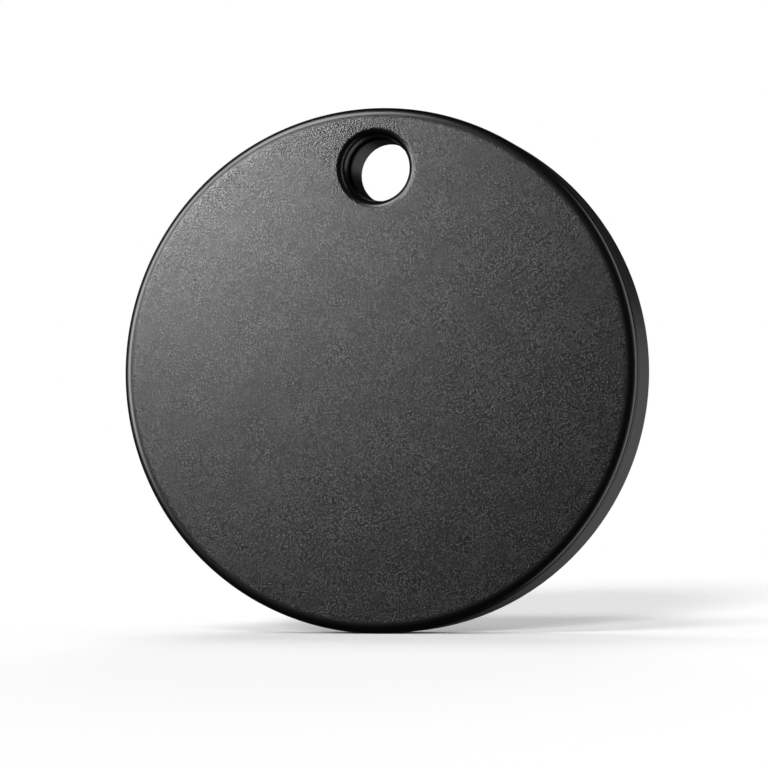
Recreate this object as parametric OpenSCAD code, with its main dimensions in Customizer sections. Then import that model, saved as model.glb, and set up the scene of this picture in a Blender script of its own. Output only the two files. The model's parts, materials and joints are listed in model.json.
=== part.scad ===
// Round Bluetooth tracker tag that hangs on a key ring.
// The tag stands on its round edge: +Z is up, the front cover faces -Y, the battery door faces +Y.
// Every piece is drawn flat first, in the tag's own plane, with x to the right, y towards the key-ring hole
// and z through the thickness, towards the front. stand() then sets it on its edge.

/* [Case] */
// Outside diameter of the tag
case_d = 38; // [37:0.5:42]
// Thickness of the tag, front face to back face
case_t = 6.4; // [6.4:0.1:7]
// Radius of the rounded front edge
front_round = 0.65; // [0.4:0.05:0.7]
// Radius of the rounded back edge
back_round = 0.9; // [0.4:0.05:1.2]
// Thickness of the side wall
wall = 1; // [0.95:0.05:1.2]
// Thickness of the back wall
back_t = 0.8; // [0.7:0.05:0.9]
// Thickness of the front cover's plate
cover_t = 0.9; // [0.8:0.05:0.9]
// Width of the joint that shows between cover and side wall
rim_gap = 0.2; // [0.16:0.02:0.25]

/* [Key-ring hole] */
// Distance of the hole from the middle of the tag
hole_y = 14.6; // [14.4:0.1:14.8]
// Radius of the straight part of the bore
bore_r = 2.2; // [1.8:0.05:2.3]
// Outside radius of the sleeve that carries the bore
sleeve_r = 3; // [2.8:0.05:3]
// Outside radius of the rounded lip, at the front face and at the back face
lip_r = 2.8; // [2.6:0.05:2.8]
// Radius of the lip where it ends at the joint line
seam_r = 2.4; // [2.3:0.05:2.45]
// Depth of the joint line below the front face
seam_depth = 1.58; // [1.4:0.02:1.7]

/* [Push cover] */
// Stroke of the cover when it is pressed
press_travel = 0.15; // [0.1:0.01:0.15]
// Running clearance of the cover's skirt in the side wall and on the sleeve
slide_fit = 0.05; // [0.03:0.01:0.08]
// Thickness of the skirt under the cover
skirt_t = 0.9; // [0.8:0.05:0.95]
// Width of each snap lug on the skirt, in degrees
snap_angle = 12; // [8:1:16]

/* [Battery and door] */
// Diameter of the coin cell
cell_d = 20; // [20]
// Thickness of the coin cell
cell_t = 3.2; // [3.2]
// How far the coin cell sits below the middle of the tag
cell_drop = 3; // [2.8:0.1:3]
// Diameter of the battery door
door_d = 23; // [22.8:0.1:23]
// Thickness of the battery door's plate
door_t = 0.75; // [0.7:0.05:0.75]
// Turn of the door from locked to open, in degrees, anticlockwise as seen from the back
door_turn = 33; // [30:1:40]
// Length of the coin slot
slot_len = 11; // [8:0.5:13]
// Width of the coin slot
slot_w = 1.7; // [1.4:0.1:2]
// Depth of the coin slot
slot_depth = 0.4; // [0.3:0.05:0.45]

/* [Electronics] */
// Radius of the circuit board
board_r = 16.8; // [16.6:0.05:16.9]
// Thickness of the circuit board
board_t = 0.5; // [0.4:0.05:0.5]
// Radius of the sounder's brass plate
piezo_r = 9; // [8:0.1:9]

/* [Hidden] */

$fn = 96;
// Far enough past a face for a clean cut
past = 1;
// Hair gap between pieces that only touch
touch = 0.01;

case_r = case_d / 2;
front_z = case_t / 2;
back_z = -case_t / 2;
// Inside of the shells
inner_r = case_r - wall;
floor_z = back_z + back_t;
under_z = front_z - cover_t;
// The cover's visible edge: its rounding and a short straight land
edge_land = 0.1;
edge_z = front_z - front_round - edge_land;
rim_z = edge_z - rim_gap;
// Skirt of the cover, inside the side wall
skirt_out = inner_r - slide_fit;
skirt_in = skirt_out - skirt_t;
skirt_z = under_z - 1.4;
// Sleeve and collar round the key-ring hole
seam_z = front_z - seam_depth;
sleeve_top = seam_z - 0.25;
collar_r = 3.5;
lip_round = 0.36;
bore_back = -1.3;
// Seal cross-sections
cover_seal_r = 0.24;
cover_seal_z = under_z - 0.4;
sleeve_seal_r = 0.16;
sleeve_seal_z = skirt_z + 0.24;
door_seal_r = 0.19;
// Snap lugs and their pockets
snap_out = 0.3;
snap_h = 0.35;
snap_turns = [45, 135, 225, 315];

// Battery bay
cell_r = cell_d / 2;
cell_y = -cell_drop;
door_r = door_d / 2;
door_fit = 0.06;
door_in_z = back_z + door_t;
cell_z = door_in_z + 0.05;
cell_top = cell_z + cell_t;
neck_in = cell_r + 0.12;
neck_out = neck_in + 0.58;
neck_top = door_in_z + 1.1;
ledge_in = neck_out + 0.08;
ledge_z = door_in_z + 0.03;
ledge_t = 0.45;
bay_r = door_r + door_fit;
bay_wall = 0.74;
lug_z = ledge_z + ledge_t + 0.05;
lug_t = 0.47;
lug_r = door_r - 0.05;
lug_turns = [90, 210, 330];
lug_angle = 26;
// Inner and outer radius of the seal groove in the door's plate
groove_in = neck_out + 0.12;
groove_out = door_r - 0.15;
rib_turns = [45, 135, 225, 315];

// Board and what it carries
board_z = cell_top + 0.4;
board_top = board_z + board_t;
notch_r = 3.75;
post_at = [[13.9, 3.5], [-13.9, 3.5], [11.6, -10.6], [-11.6, -10.6]];
post_r = 0.9;
pin_r = 0.4;
strip_t = 0.12;
piezo_y = cell_y - 0.5;
piezo_t = 0.12;
glue_t = 0.05;
ceramic_r = 6.5;
ceramic_t = 0.1;
plate_z = under_z - glue_t - piezo_t;
ceramic_z = plate_z - ceramic_t;
switch_at = [0, 8.9];
switch_size = [3.2, 2.4, 0.35];
switch_floor = board_top + 0.08;
switch_top = board_top + switch_size[2];
plunger_r = 0.58;
plunger_z = switch_floor + 0.17;

// Sets a flat-drawn piece on its edge
module stand() {
    translate([0, 0, case_r]) rotate([90, 0, 0]) children();
}

// Points of an elliptical arc from angle a0 to a1 about the centre c
function arc(c, rx, ry, a0, a1, n = 10) =
    [for (i = [0:n]) let (a = a0 + (a1 - a0) * i / n) [c[0] + rx * cos(a), c[1] + ry * sin(a)]];

// Ring of rectangular section
module ring(r_in, r_out, z, h) {
    translate([0, 0, z]) rotate_extrude() translate([r_in, 0]) square([r_out - r_in, h]);
}

// Part of such a ring, centred on the direction turn
module sector(r_in, r_out, z, h, turn, width) {
    translate([0, 0, z]) rotate([0, 0, turn - width / 2])
        rotate_extrude(angle = width) translate([r_in, 0]) square([r_out - r_in, h]);
}

// Ring of round section, such as an O-ring
module cord_ring(r, section_r, z) {
    translate([0, 0, z]) rotate_extrude() translate([r, 0]) circle(r = section_r, $fn = 32);
}

// Flat plate with rounded corners, centred
module round_plate(x, y, h, r) {
    linear_extrude(height = h) union() {
        square([x - 2 * r, y], center = true);
        square([x, y - 2 * r], center = true);
        for (sx = [-1, 1], sy = [-1, 1]) translate([sx * (x / 2 - r), sy * (y / 2 - r)]) circle(r = r, $fn = 24);
    }
}

// Bar with half-round ends
module slot(len, w, h) {
    translate([0, 0, h / 2]) cube([len - w, w, h], center = true);
    for (s = [-1, 1]) translate([s * (len - w) / 2, 0, 0]) cylinder(r = w / 2, h = h, $fn = 32);
}

// Puts a part on the board's back side, which faces the battery, at a place and turn
module under_board(at, turn = 0) {
    translate([at[0], at[1], board_z]) rotate([0, 0, turn]) mirror([0, 0, 1]) children();
}

// Puts a part on the board's front side
module on_board(at, turn = 0) {
    translate([at[0], at[1], board_top]) rotate([0, 0, turn]) children();
}

// Chip resistor or capacitor: a body with a metal cap over each end
module chip_part(len, w, h) {
    cap = len * 0.22;
    lift = 0.02;
    translate([-len / 2, -w / 2, 0]) cube([cap, w, h]);
    translate([len / 2 - cap, -w / 2, 0]) cube([cap, w, h]);
    translate([-len / 2 + cap / 2, -w / 2 + lift, lift]) cube([len - cap, w - 2 * lift, h - 2 * lift]);
}

// Front shell, which is also the push button: plate, rounded edge, skirt, lip and collar
module front_cover() {
    // Half height of the groove that holds the seal
    groove = cover_seal_r + 0.01;
    color([0.07, 0.07, 0.075]) stand() difference() {
        union() {
            rotate_extrude() polygon(concat(
                [[0, under_z], [0, front_z]],
                arc([case_r - front_round, front_z - front_round], front_round, front_round, 90, 0),
                [[case_r, edge_z], [skirt_out, edge_z], [skirt_out, skirt_z], [skirt_in, skirt_z], [skirt_in, under_z]]
            ));
            // Collar round the sleeve, kept inside the skirt
            intersection() {
                translate([0, hole_y, skirt_z]) cylinder(r = collar_r, h = under_z - skirt_z + cover_t / 2);
                cylinder(r = skirt_out - 0.02, h = case_t);
            }
            // Snap lugs
            for (turn = snap_turns)
                sector(skirt_in + skirt_t / 2, skirt_out + snap_out, skirt_z, snap_h, turn, snap_angle);
            // Rib that centres the sounder
            translate([0, piezo_y, 0]) ring(piezo_r + 0.15, piezo_r + 0.5, under_z - 0.2, 0.2 + cover_t / 2);
        }
        ring(skirt_out - 0.46, skirt_out + 0.02, cover_seal_z - groove, 2 * groove);
        translate([0, hole_y, 0]) lip_cut();
        translate([0, hole_y, skirt_z - past]) cylinder(r = sleeve_r + slide_fit, h = seam_z - skirt_z + past);
    }
}

// Space inside the lip: rounded at the face, then a slight taper down to the joint line
module lip_cut() {
    foot = seam_z - past;
    rotate_extrude() polygon(concat(
        [[0, foot], [seam_r, foot], [seam_r, seam_z]],
        arc([lip_r, front_z - lip_round], lip_round, lip_round, 180, 90),
        [[lip_r, front_z + past], [0, front_z + past]]
    ));
}

// Rear shell: back wall, side wall, bore sleeve, battery bay and board posts
module rear_body() {
    color([0.06, 0.06, 0.065]) stand() difference() {
        union() {
            rotate_extrude() polygon(concat(
                [[0, floor_z], [0, back_z]],
                arc([case_r - back_round, back_z + back_round], back_round, back_round, -90, 0),
                [[case_r, rim_z], [inner_r + 0.15, rim_z], [inner_r, rim_z - 0.15], [inner_r, floor_z]]
            ));
            translate([0, hole_y, back_z + back_t / 2]) cylinder(r = sleeve_r, h = sleeve_top - back_z - back_t / 2);
            translate([0, cell_y, 0]) bay_wall_ring();
            for (p = post_at) translate(p) board_post();
        }
        translate([0, hole_y, 0]) bore_cut();
        translate([0, hole_y, sleeve_seal_z]) sleeve_groove();
        translate([0, cell_y, 0]) bay_cut();
        for (turn = snap_turns) snap_pocket(turn);
    }
}

// Wall of the battery bay with the ledge that the door locks under, and ribs that centre the cell
module bay_wall_ring() {
    ring(bay_r, bay_r + bay_wall, floor_z - back_t / 2, board_z - 0.3 - floor_z + back_t / 2);
    ring(ledge_in, bay_r + bay_wall / 2, floor_z - back_t / 2, ledge_z + ledge_t - floor_z + back_t / 2);
    for (turn = rib_turns) sector(neck_in, bay_r + bay_wall / 2, neck_top + 0.15, 1.9, turn, 16);
}

// Door opening, and the notches that let the door's lugs pass the ledge
module bay_cut() {
    translate([0, 0, back_z - past]) cylinder(r = bay_r, h = ledge_z - back_z + past);
    translate([0, 0, back_z]) cylinder(r = ledge_in, h = back_t + past);
    for (turn = lug_turns)
        sector(ledge_in - 0.2, bay_r + 0.05, ledge_z - 0.1, ledge_t + 0.2, turn - door_turn, lug_angle + 4);
}

// Bore with a small chamfer at the sleeve's end and a long flare to the back face
module bore_cut() {
    edge = 0.06;
    rotate_extrude() polygon(concat(
        [[0, sleeve_top + past], [bore_r + edge, sleeve_top + past], [bore_r + edge, sleeve_top]],
        [[bore_r, sleeve_top - edge]],
        arc([lip_r, bore_back], lip_r - bore_r, bore_back - back_z, 180, 270),
        [[lip_r, back_z - past], [0, back_z - past]]
    ));
}

// Groove round the sleeve for its seal
module sleeve_groove() {
    half = sleeve_seal_r + 0.01;
    ring(sleeve_r - 0.3, sleeve_r + past, -half, 2 * half);
}

// Post with a shoulder for the board, a pin through it and a staked head
module board_post() {
    translate([0, 0, floor_z - back_t / 2]) cylinder(r = post_r, h = board_z - floor_z + back_t / 2, $fn = 32);
    translate([0, 0, board_z - 0.1]) cylinder(r = pin_r, h = board_t + 0.2, $fn = 24);
    translate([0, 0, board_top + touch]) cylinder(r = 0.7, h = 0.18, $fn = 24);
}

// Pocket in the side wall that holds one snap lug over the cover's stroke
module snap_pocket(turn) {
    low = skirt_z - press_travel - 0.1;
    sector(inner_r - 0.3, inner_r + 0.45, low, skirt_z + snap_h + 0.05 - low, turn, snap_angle + 3);
}

// Battery door: plate, neck round the cell, bayonet lugs, seal groove and coin slot
module battery_door() {
    groove_z = door_in_z - 0.4;
    color([0.075, 0.075, 0.08]) stand() translate([0, cell_y, 0]) difference() {
        union() {
            rotate_extrude() polygon([
                [0, door_in_z], [0, back_z], [door_r - 0.12, back_z], [door_r, back_z + 0.12],
                [door_r, door_in_z], [groove_out, door_in_z], [groove_out, groove_z],
                [groove_in, groove_z], [groove_in, door_in_z], [neck_out, door_in_z],
                [neck_out, neck_top], [neck_in, neck_top], [neck_in, door_in_z]
            ]);
            for (turn = lug_turns) sector(neck_out - 0.2, lug_r, lug_z, lug_t, turn, lug_angle);
        }
        translate([0, 0, back_z - past]) slot(slot_len, slot_w, slot_depth + past);
        // Mark that shows which way the door is turned
        translate([0, door_r - 1.4, back_z - past]) cylinder(r = 0.4, h = past + 0.15, $fn = 24);
    }
}

module cover_seal() {
    color([0.2, 0.2, 0.21]) stand() cord_ring(inner_r - 0.02 - cover_seal_r, cover_seal_r, cover_seal_z);
}

module sleeve_seal() {
    color([0.2, 0.2, 0.21]) stand() translate([0, hole_y, 0])
        cord_ring(sleeve_r + slide_fit - 0.02 - sleeve_seal_r, sleeve_seal_r, sleeve_seal_z);
}

module door_seal() {
    color([0.45, 0.12, 0.08]) stand() translate([0, cell_y, 0])
        cord_ring((groove_in + groove_out) / 2, door_seal_r, ledge_z - touch - door_seal_r);
}

// Coin cell can, the positive side: rounded base, side, and a crimped rim that turns in over the insulator
module battery_can() {
    skin = 0.25;
    corner = 0.35;
    crimp_z = cell_top - 0.25;
    color([0.78, 0.79, 0.8]) stand() translate([0, cell_y, 0]) rotate_extrude() polygon(concat(
        [[0, cell_z + skin], [0, cell_z]],
        arc([cell_r - corner, cell_z + corner], corner, corner, -90, 0, 5),
        arc([cell_r - corner, crimp_z - corner], corner, corner, 0, 90, 5),
        [
            [cell_r - 0.7, crimp_z], [cell_r - 0.7, crimp_z - 0.2], [cell_r - corner, crimp_z - skin],
            [cell_r - skin, crimp_z - skin - 0.15], [cell_r - skin, cell_z + skin]
        ]
    ));
}

// Coin cell cap, the negative side, drawn solid with the electrodes that it covers
module battery_cap() {
    color([0.7, 0.71, 0.72]) stand() translate([0, cell_y, 0]) rotate_extrude() polygon([
        [0, cell_z + 0.3], [0, cell_top], [8.3, cell_top], [8.65, cell_top - 0.3], [8.65, cell_top - 0.6],
        [9.1, cell_top - 0.75], [9.1, cell_z + 0.3]
    ]);
}

module battery_insulator() {
    color([0.85, 0.85, 0.8]) stand() translate([0, cell_y, 0]) rotate_extrude() polygon([
        [9.15, cell_z + 0.3], [9.15, cell_top - 0.72], [8.7, cell_top - 0.57], [8.7, cell_top - 0.2],
        [9.25, cell_top - 0.2], [9.25, cell_top - 0.5], [9.7, cell_top - 0.62], [9.7, cell_z + 0.3]
    ]);
}

// Bent strip from the board down to the side of the cell, with a foot to solder and a lead-in at its tip
module positive_contact() {
    x_in = -cell_r - touch;
    tip_z = board_z - 2;
    color([0.85, 0.8, 0.55]) stand() translate([0, cell_y + 1.5, 0]) rotate([90, 0, 0])
        linear_extrude(height = 3) polygon([
            [x_in - 2.4, board_z], [x_in - 2.4, board_z - strip_t], [x_in - strip_t - 0.15, board_z - strip_t],
            [x_in - strip_t - 0.15, board_z - 0.9], [x_in - strip_t, board_z - 1.2], [x_in - strip_t, tip_z],
            [x_in - strip_t - 0.25, tip_z - 0.5], [x_in - 0.25, tip_z - 0.5], [x_in, tip_z],
            [x_in, board_z - 1.2], [x_in - 0.15, board_z - 0.9], [x_in - 0.15, board_z]
        ]);
}

// Sprung spider that presses on the cell's cap: a hub soldered to the board, and three bent fingers
module negative_contact() {
    color([0.85, 0.8, 0.55]) stand() translate([0, cell_y, 0]) {
        translate([0, 0, board_z - strip_t]) cylinder(r = 2.2, h = strip_t);
        for (turn = [0, 120, 240]) rotate([0, 0, turn]) translate([0, 0.7, 0]) rotate([90, 0, 0])
            linear_extrude(height = 1.4) polygon([
                [2, board_z], [3, board_z], [5.6, cell_top + strip_t + touch], [6.2, cell_top + strip_t + touch],
                [6.6, cell_top + 0.25], [6.6, cell_top + 0.1], [6.3, cell_top + touch], [5.5, cell_top + touch],
                [2.9, board_z - strip_t], [2, board_z - strip_t]
            ]);
    }
}

// Board with a notch for the sleeve and a hole for each post
module circuit_board() {
    color([0.06, 0.22, 0.14]) stand() difference() {
        translate([0, 0, board_z]) cylinder(r = board_r, h = board_t);
        translate([0, hole_y, board_z - past]) cylinder(r = notch_r, h = board_t + 2 * past);
        translate([-notch_r, hole_y, board_z - past]) cube([2 * notch_r, notch_r, board_t + 2 * past]);
        for (p = post_at) translate([p[0], p[1], board_z - past])
            cylinder(r = pin_r + 0.05, h = board_t + 2 * past, $fn = 24);
    }
}

// Radio chip: moulded body with a pin-one dot, on a thin row of lands
module radio_chip() {
    color([0.08, 0.08, 0.085]) stand() under_board([-8.8, 9.9]) difference() {
        union() {
            translate([-2, -2, 0.04]) cube([4, 4, 0.7]);
            for (turn = [0, 90, 180, 270], i = [-3:3]) rotate([0, 0, turn])
                translate([1.7, i * 0.5 - 0.12, 0]) cube([0.33, 0.24, 0.2]);
        }
        translate([-1.5, 1.5, 0.68]) cylinder(r = 0.22, h = past, $fn = 24);
    }
}

module main_crystal() {
    color([0.75, 0.75, 0.76]) stand() under_board([-12.9, 8.1], 60) {
        round_plate(2.5, 2, 0.3, 0.15);
        translate([0, 0, 0.3]) round_plate(2.2, 1.7, 0.3, 0.2);
    }
}

module clock_crystal() {
    color([0.75, 0.75, 0.76]) stand() under_board([-4.9, 11.4]) {
        round_plate(3.2, 1.5, 0.35, 0.12);
        translate([0, 0, 0.35]) round_plate(2.9, 1.2, 0.4, 0.2);
    }
}

// Ceramic chip antenna with a metal end at each side
module antenna() {
    color([0.85, 0.86, 0.88]) stand() under_board([10.6, 9.9], -47) chip_part(3.2, 1.6, 1.1);
}

// Drum coil: two flanges, the winding between them and two feet
module boost_coil() {
    color([0.2, 0.2, 0.2]) stand() under_board([6, 10.4]) {
        translate([0, 0, 0.1]) cylinder(r = 1.5, h = 0.3);
        translate([0, 0, 0.4]) cylinder(r = 1.15, h = 0.7);
        translate([0, 0, 1.1]) cylinder(r = 1.5, h = 0.3);
        for (s = [-1, 1]) translate([s * 1.05 - 0.35, -0.6, 0]) cube([0.7, 1.2, 0.1]);
    }
}

// Three-legged driver for the sounder
module driver_transistor() {
    color([0.09, 0.09, 0.095]) stand() under_board([14.3, -0.2], 90) {
        translate([-1.45, -0.65, 0.08]) cube([2.9, 1.3, 0.9]);
        for (leg = [[-0.95, -1.1], [0.95, -1.1], [0, 0.6]])
            translate([leg[0] - 0.2, leg[1], 0]) cube([0.4, 0.5, 0.18]);
    }
}

// Chip capacitors, each at a direction from the middle of the tag: [turn, length, width, height]
module capacitors() {
    color([0.6, 0.45, 0.3]) stand() for (c = [
        [183, 1.6, 0.8, 0.8], [191, 1.6, 0.8, 0.8], [199, 1, 0.5, 0.5], [205, 1, 0.5, 0.5],
        [-14, 2, 1.25, 1.25], [-22, 1.6, 0.8, 0.8], [-30, 1, 0.5, 0.5], [28, 1, 0.5, 0.5], [34, 1, 0.5, 0.5]
    ]) under_board([14.7 * cos(c[0]), 14.7 * sin(c[0])], c[0] + 90) chip_part(c[1], c[2], c[3]);
}

// Chip resistors in two short rows beside the switch
module resistors() {
    color([0.12, 0.12, 0.13]) stand() for (s = [-1, 1], i = [0:3])
        on_board([s * (4 + 1.2 * i), 8.6 - 0.2 * i], 90) chip_part(1, 0.5, 0.34);
}

module piezo_plate() {
    color([0.8, 0.66, 0.3]) stand() translate([0, piezo_y, plate_z]) cylinder(r = piezo_r, h = piezo_t);
}

module piezo_ceramic() {
    color([0.88, 0.87, 0.83]) stand() translate([0, piezo_y, ceramic_z]) cylinder(r = ceramic_r, h = ceramic_t);
}

module piezo_adhesive() {
    color([0.9, 0.9, 0.88]) stand() translate([0, piezo_y, 0]) ring(piezo_r - 1, piezo_r, plate_z + piezo_t, glue_t);
}

// Two leaf springs from the board to the sounder: one to the brass plate, one to the ceramic
module piezo_contacts() {
    color([0.85, 0.8, 0.55]) stand() {
        leaf_spring([-7.6, piezo_y], 90, plate_z);
        leaf_spring([3.4, piezo_y], 90, ceramic_z);
    }
}

// Leaf with a flat foot, a rising arm and a flat tip that ends just under the height top
module leaf_spring(at, turn, top) {
    leaf = 0.08;
    tip = top - board_top - touch;
    on_board(at, turn) translate([0, 0.3, 0]) rotate([90, 0, 0]) linear_extrude(height = 0.6) polygon([
        [-1.4, 0], [-0.5, 0], [0.5, tip - leaf], [0.9, tip - leaf], [0.9, tip], [0.42, tip], [-0.58, leaf],
        [-1.4, leaf]
    ]);
}

// Low tactile switch: square housing with a round chamber and a hole for its plunger
module switch_housing() {
    color([0.1, 0.1, 0.11]) stand() difference() {
        on_board(switch_at) round_plate(switch_size[0], switch_size[1], switch_size[2], 0.2);
        translate([switch_at[0], switch_at[1], switch_floor]) cylinder(r = 1, h = switch_top - switch_floor - 0.07);
        translate([switch_at[0], switch_at[1], switch_floor]) cylinder(r = plunger_r + 0.05, h = past);
    }
}

module switch_terminals() {
    color([0.8, 0.8, 0.8]) stand() for (sx = [-1, 1], sy = [-1, 1])
        on_board([switch_at[0] + sx * (switch_size[0] / 2 + 0.2 + touch), switch_at[1] + sy * 0.75])
            translate([-0.2, -0.25, 0]) cube([0.4, 0.5, 0.12]);
}

// Snap dome: a thin sprung disc, high in the middle
module switch_dome() {
    rise = 0.15;
    sheet = 0.04;
    color([0.8, 0.8, 0.8]) stand() translate([switch_at[0], switch_at[1], switch_floor]) rotate_extrude()
        polygon([
            [0.95, 0], [0.72, rise * 0.55], [0.4, rise * 0.9], [0, rise], [0, rise - sheet],
            [0.38, rise * 0.9 - sheet], [0.68, rise * 0.55 - sheet], [0.9, 0]
        ]);
}

// Plunger with a flange that keeps it in the housing, under the cover
module switch_plunger() {
    color([0.5, 0.12, 0.1]) stand() translate([switch_at[0], switch_at[1], 0]) {
        translate([0, 0, plunger_z]) cylinder(r = plunger_r, h = under_z - touch - plunger_z, $fn = 48);
        translate([0, 0, plunger_z]) cylinder(r = 0.85, h = switch_top - 0.09 - plunger_z, $fn = 48);
    }
}

front_cover();
rear_body();
battery_door();
cover_seal();
sleeve_seal();
door_seal();
battery_can();
battery_cap();
battery_insulator();
positive_contact();
negative_contact();
circuit_board();
radio_chip();
main_crystal();
clock_crystal();
antenna();
boost_coil();
driver_transistor();
capacitors();
resistors();
piezo_plate();
piezo_ceramic();
piezo_adhesive();
piezo_contacts();
switch_housing();
switch_terminals();
switch_dome();
switch_plunger();
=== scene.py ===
"""Round Bluetooth tracker tag for a key ring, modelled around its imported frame.

The tag stands on its round edge. +Z is up, the push cover faces -Y and the battery door faces +Y.
Pieces are modelled in millimetres and shrunk to metres when they are finished. An outline's points are
(radius, depth) pairs, where depth runs along +Y, from the front face to the back face.
"""
import json
import math

import bmesh
import bpy
from mathutils import Matrix, Vector


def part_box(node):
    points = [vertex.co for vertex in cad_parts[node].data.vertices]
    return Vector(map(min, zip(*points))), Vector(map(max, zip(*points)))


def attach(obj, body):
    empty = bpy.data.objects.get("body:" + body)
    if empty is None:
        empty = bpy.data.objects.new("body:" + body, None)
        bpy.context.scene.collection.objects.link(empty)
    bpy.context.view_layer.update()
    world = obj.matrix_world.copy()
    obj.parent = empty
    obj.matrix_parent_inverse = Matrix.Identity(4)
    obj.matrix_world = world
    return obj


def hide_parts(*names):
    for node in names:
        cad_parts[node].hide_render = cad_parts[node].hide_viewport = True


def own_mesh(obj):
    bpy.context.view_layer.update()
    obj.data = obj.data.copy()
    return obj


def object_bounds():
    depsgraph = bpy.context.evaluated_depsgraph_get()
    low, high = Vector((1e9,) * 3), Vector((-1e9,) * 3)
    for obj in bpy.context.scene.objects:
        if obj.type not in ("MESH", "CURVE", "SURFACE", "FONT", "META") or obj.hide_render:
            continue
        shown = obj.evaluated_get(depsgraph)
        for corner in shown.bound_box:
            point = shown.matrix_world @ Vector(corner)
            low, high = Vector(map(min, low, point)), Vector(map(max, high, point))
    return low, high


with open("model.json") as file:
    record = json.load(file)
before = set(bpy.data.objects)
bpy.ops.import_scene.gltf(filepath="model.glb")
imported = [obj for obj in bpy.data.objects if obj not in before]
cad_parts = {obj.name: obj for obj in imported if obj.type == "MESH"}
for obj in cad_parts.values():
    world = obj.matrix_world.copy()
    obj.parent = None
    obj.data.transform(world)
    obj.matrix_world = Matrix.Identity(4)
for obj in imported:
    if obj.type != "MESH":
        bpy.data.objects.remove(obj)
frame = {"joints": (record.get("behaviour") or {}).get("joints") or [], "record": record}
CAD_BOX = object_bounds()

bl_info = {
    "name": "Bluetooth Tracker Tag",
    "version": (1, 0, 0),
    "blender": (4, 5, 0),
    "location": "3D View > Sidebar > Tracker Tag",
    "description": "Builds a push-cover tracker tag, its finishes and its studio around the packed frame",
    "category": "Add Mesh",
}

MM = 0.001
FULL_TURN = 360.0
# Steps of a full turn on the outside of the case, and on small or hidden turned parts
FINE = 256
PLAIN = 96
# How far a cutter reaches past the face that it cuts
PAST = 1.0
# Flat band beside a rounded edge, which keeps the shading of the rest of the face even
BAND = 0.3
# Corners further apart than this angle stay sharp
CREASE = math.radians(32)

MOUNTS = {mount["name"]: mount for mount in frame["record"]["mounts"]}
JOINTS = {joint["name"]: joint for joint in frame["joints"]}


def corners(node):
    """Lowest and highest corner of a frame node, in millimetres."""
    return [Vector(round(value / MM, 3) for value in corner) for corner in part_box(node)]


# The case: its middle, its radius and its two faces
CASE_LOW, CASE_HIGH = [Vector(round(value / MM, 3) for value in corner) for corner in CAD_BOX]
CASE_R = (CASE_HIGH.x - CASE_LOW.x) / 2
MIDDLE = CASE_LOW.z + CASE_R
FRONT = CASE_LOW.y
BACK = CASE_HIGH.y
# The key-ring hole and the battery door's axis
HOLE_Z = MOUNTS["keyring_hole"]["pos_m"][2] / MM
BORE_R = MOUNTS["keyring_hole"]["dims"]["r_mm"]
DOOR_Z = JOINTS["door_turn"]["pos_m"][2] / MM
DOOR_TURN = JOINTS["door_turn"]["range_deg"][1]
STROKE = JOINTS["cover_press"]["range_m"][1] / MM
# Depths and radii inside, read off the frame's nodes
UNDER = corners("piezo_adhesive")[0].y
SKIRT_END = corners("front_cover")[1].y
RIM = corners("rear_body")[0].y
BOARD_FRONT, BOARD_BACK = [corner.y for corner in corners("circuit_board")]
CELL_FRONT, CELL_BACK = corners("battery_cap")[0].y, corners("battery_can")[1].y
CELL_R = corners("battery_can")[1].x
DOOR_R = (corners("battery_door")[1].x - corners("battery_door")[0].x) / 2
# The door: its seat in the back wall, its neck round the cell, and the ledge that its lugs hold on to
SEAT = BACK - 0.78
NECK_IN = CELL_R + 0.12
NECK_OUT = NECK_IN + 0.58
BAY_R = DOOR_R + 0.06
LEDGE_IN = NECK_OUT + 0.08
LEDGE_TOP = SEAT - 0.45
DOOR_LUGS = (90, 210, 330)
# The cover's snap lugs and the bay's ribs
QUARTERS = (45, 135, 225, 315)
# The board's posts, across and up from the tag's middle
POSTS = ((13.9, 3.5), (-13.9, 3.5), (11.6, -10.6), (-11.6, -10.6))
# Steps round the key-ring hole
HOLE_STEPS = 160
# Corners closer than this, in millimetres, are one
MERGE = 1e-4


def length(name, description, default):
    """A length that a user can change, given in millimetres."""
    return bpy.props.FloatProperty(
        name=name, description=description, default=default * MM, min=0.0, subtype="DISTANCE", unit="LENGTH"
    )


def share(name, description, default):
    """A share from none to all."""
    return bpy.props.FloatProperty(
        name=name, description=description, default=default, min=0.0, max=1.0, subtype="FACTOR"
    )


def colour(name, description, default):
    """A colour that a user can change."""
    return bpy.props.FloatVectorProperty(
        name=name, description=description, default=default, size=3, min=0.0, max=1.0, subtype="COLOR"
    )


def angle(name, description, default):
    """An angle that a user can change, given in degrees."""
    return bpy.props.FloatProperty(
        name=name, description=description, default=math.radians(default), subtype="ANGLE", unit="ROTATION"
    )


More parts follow.
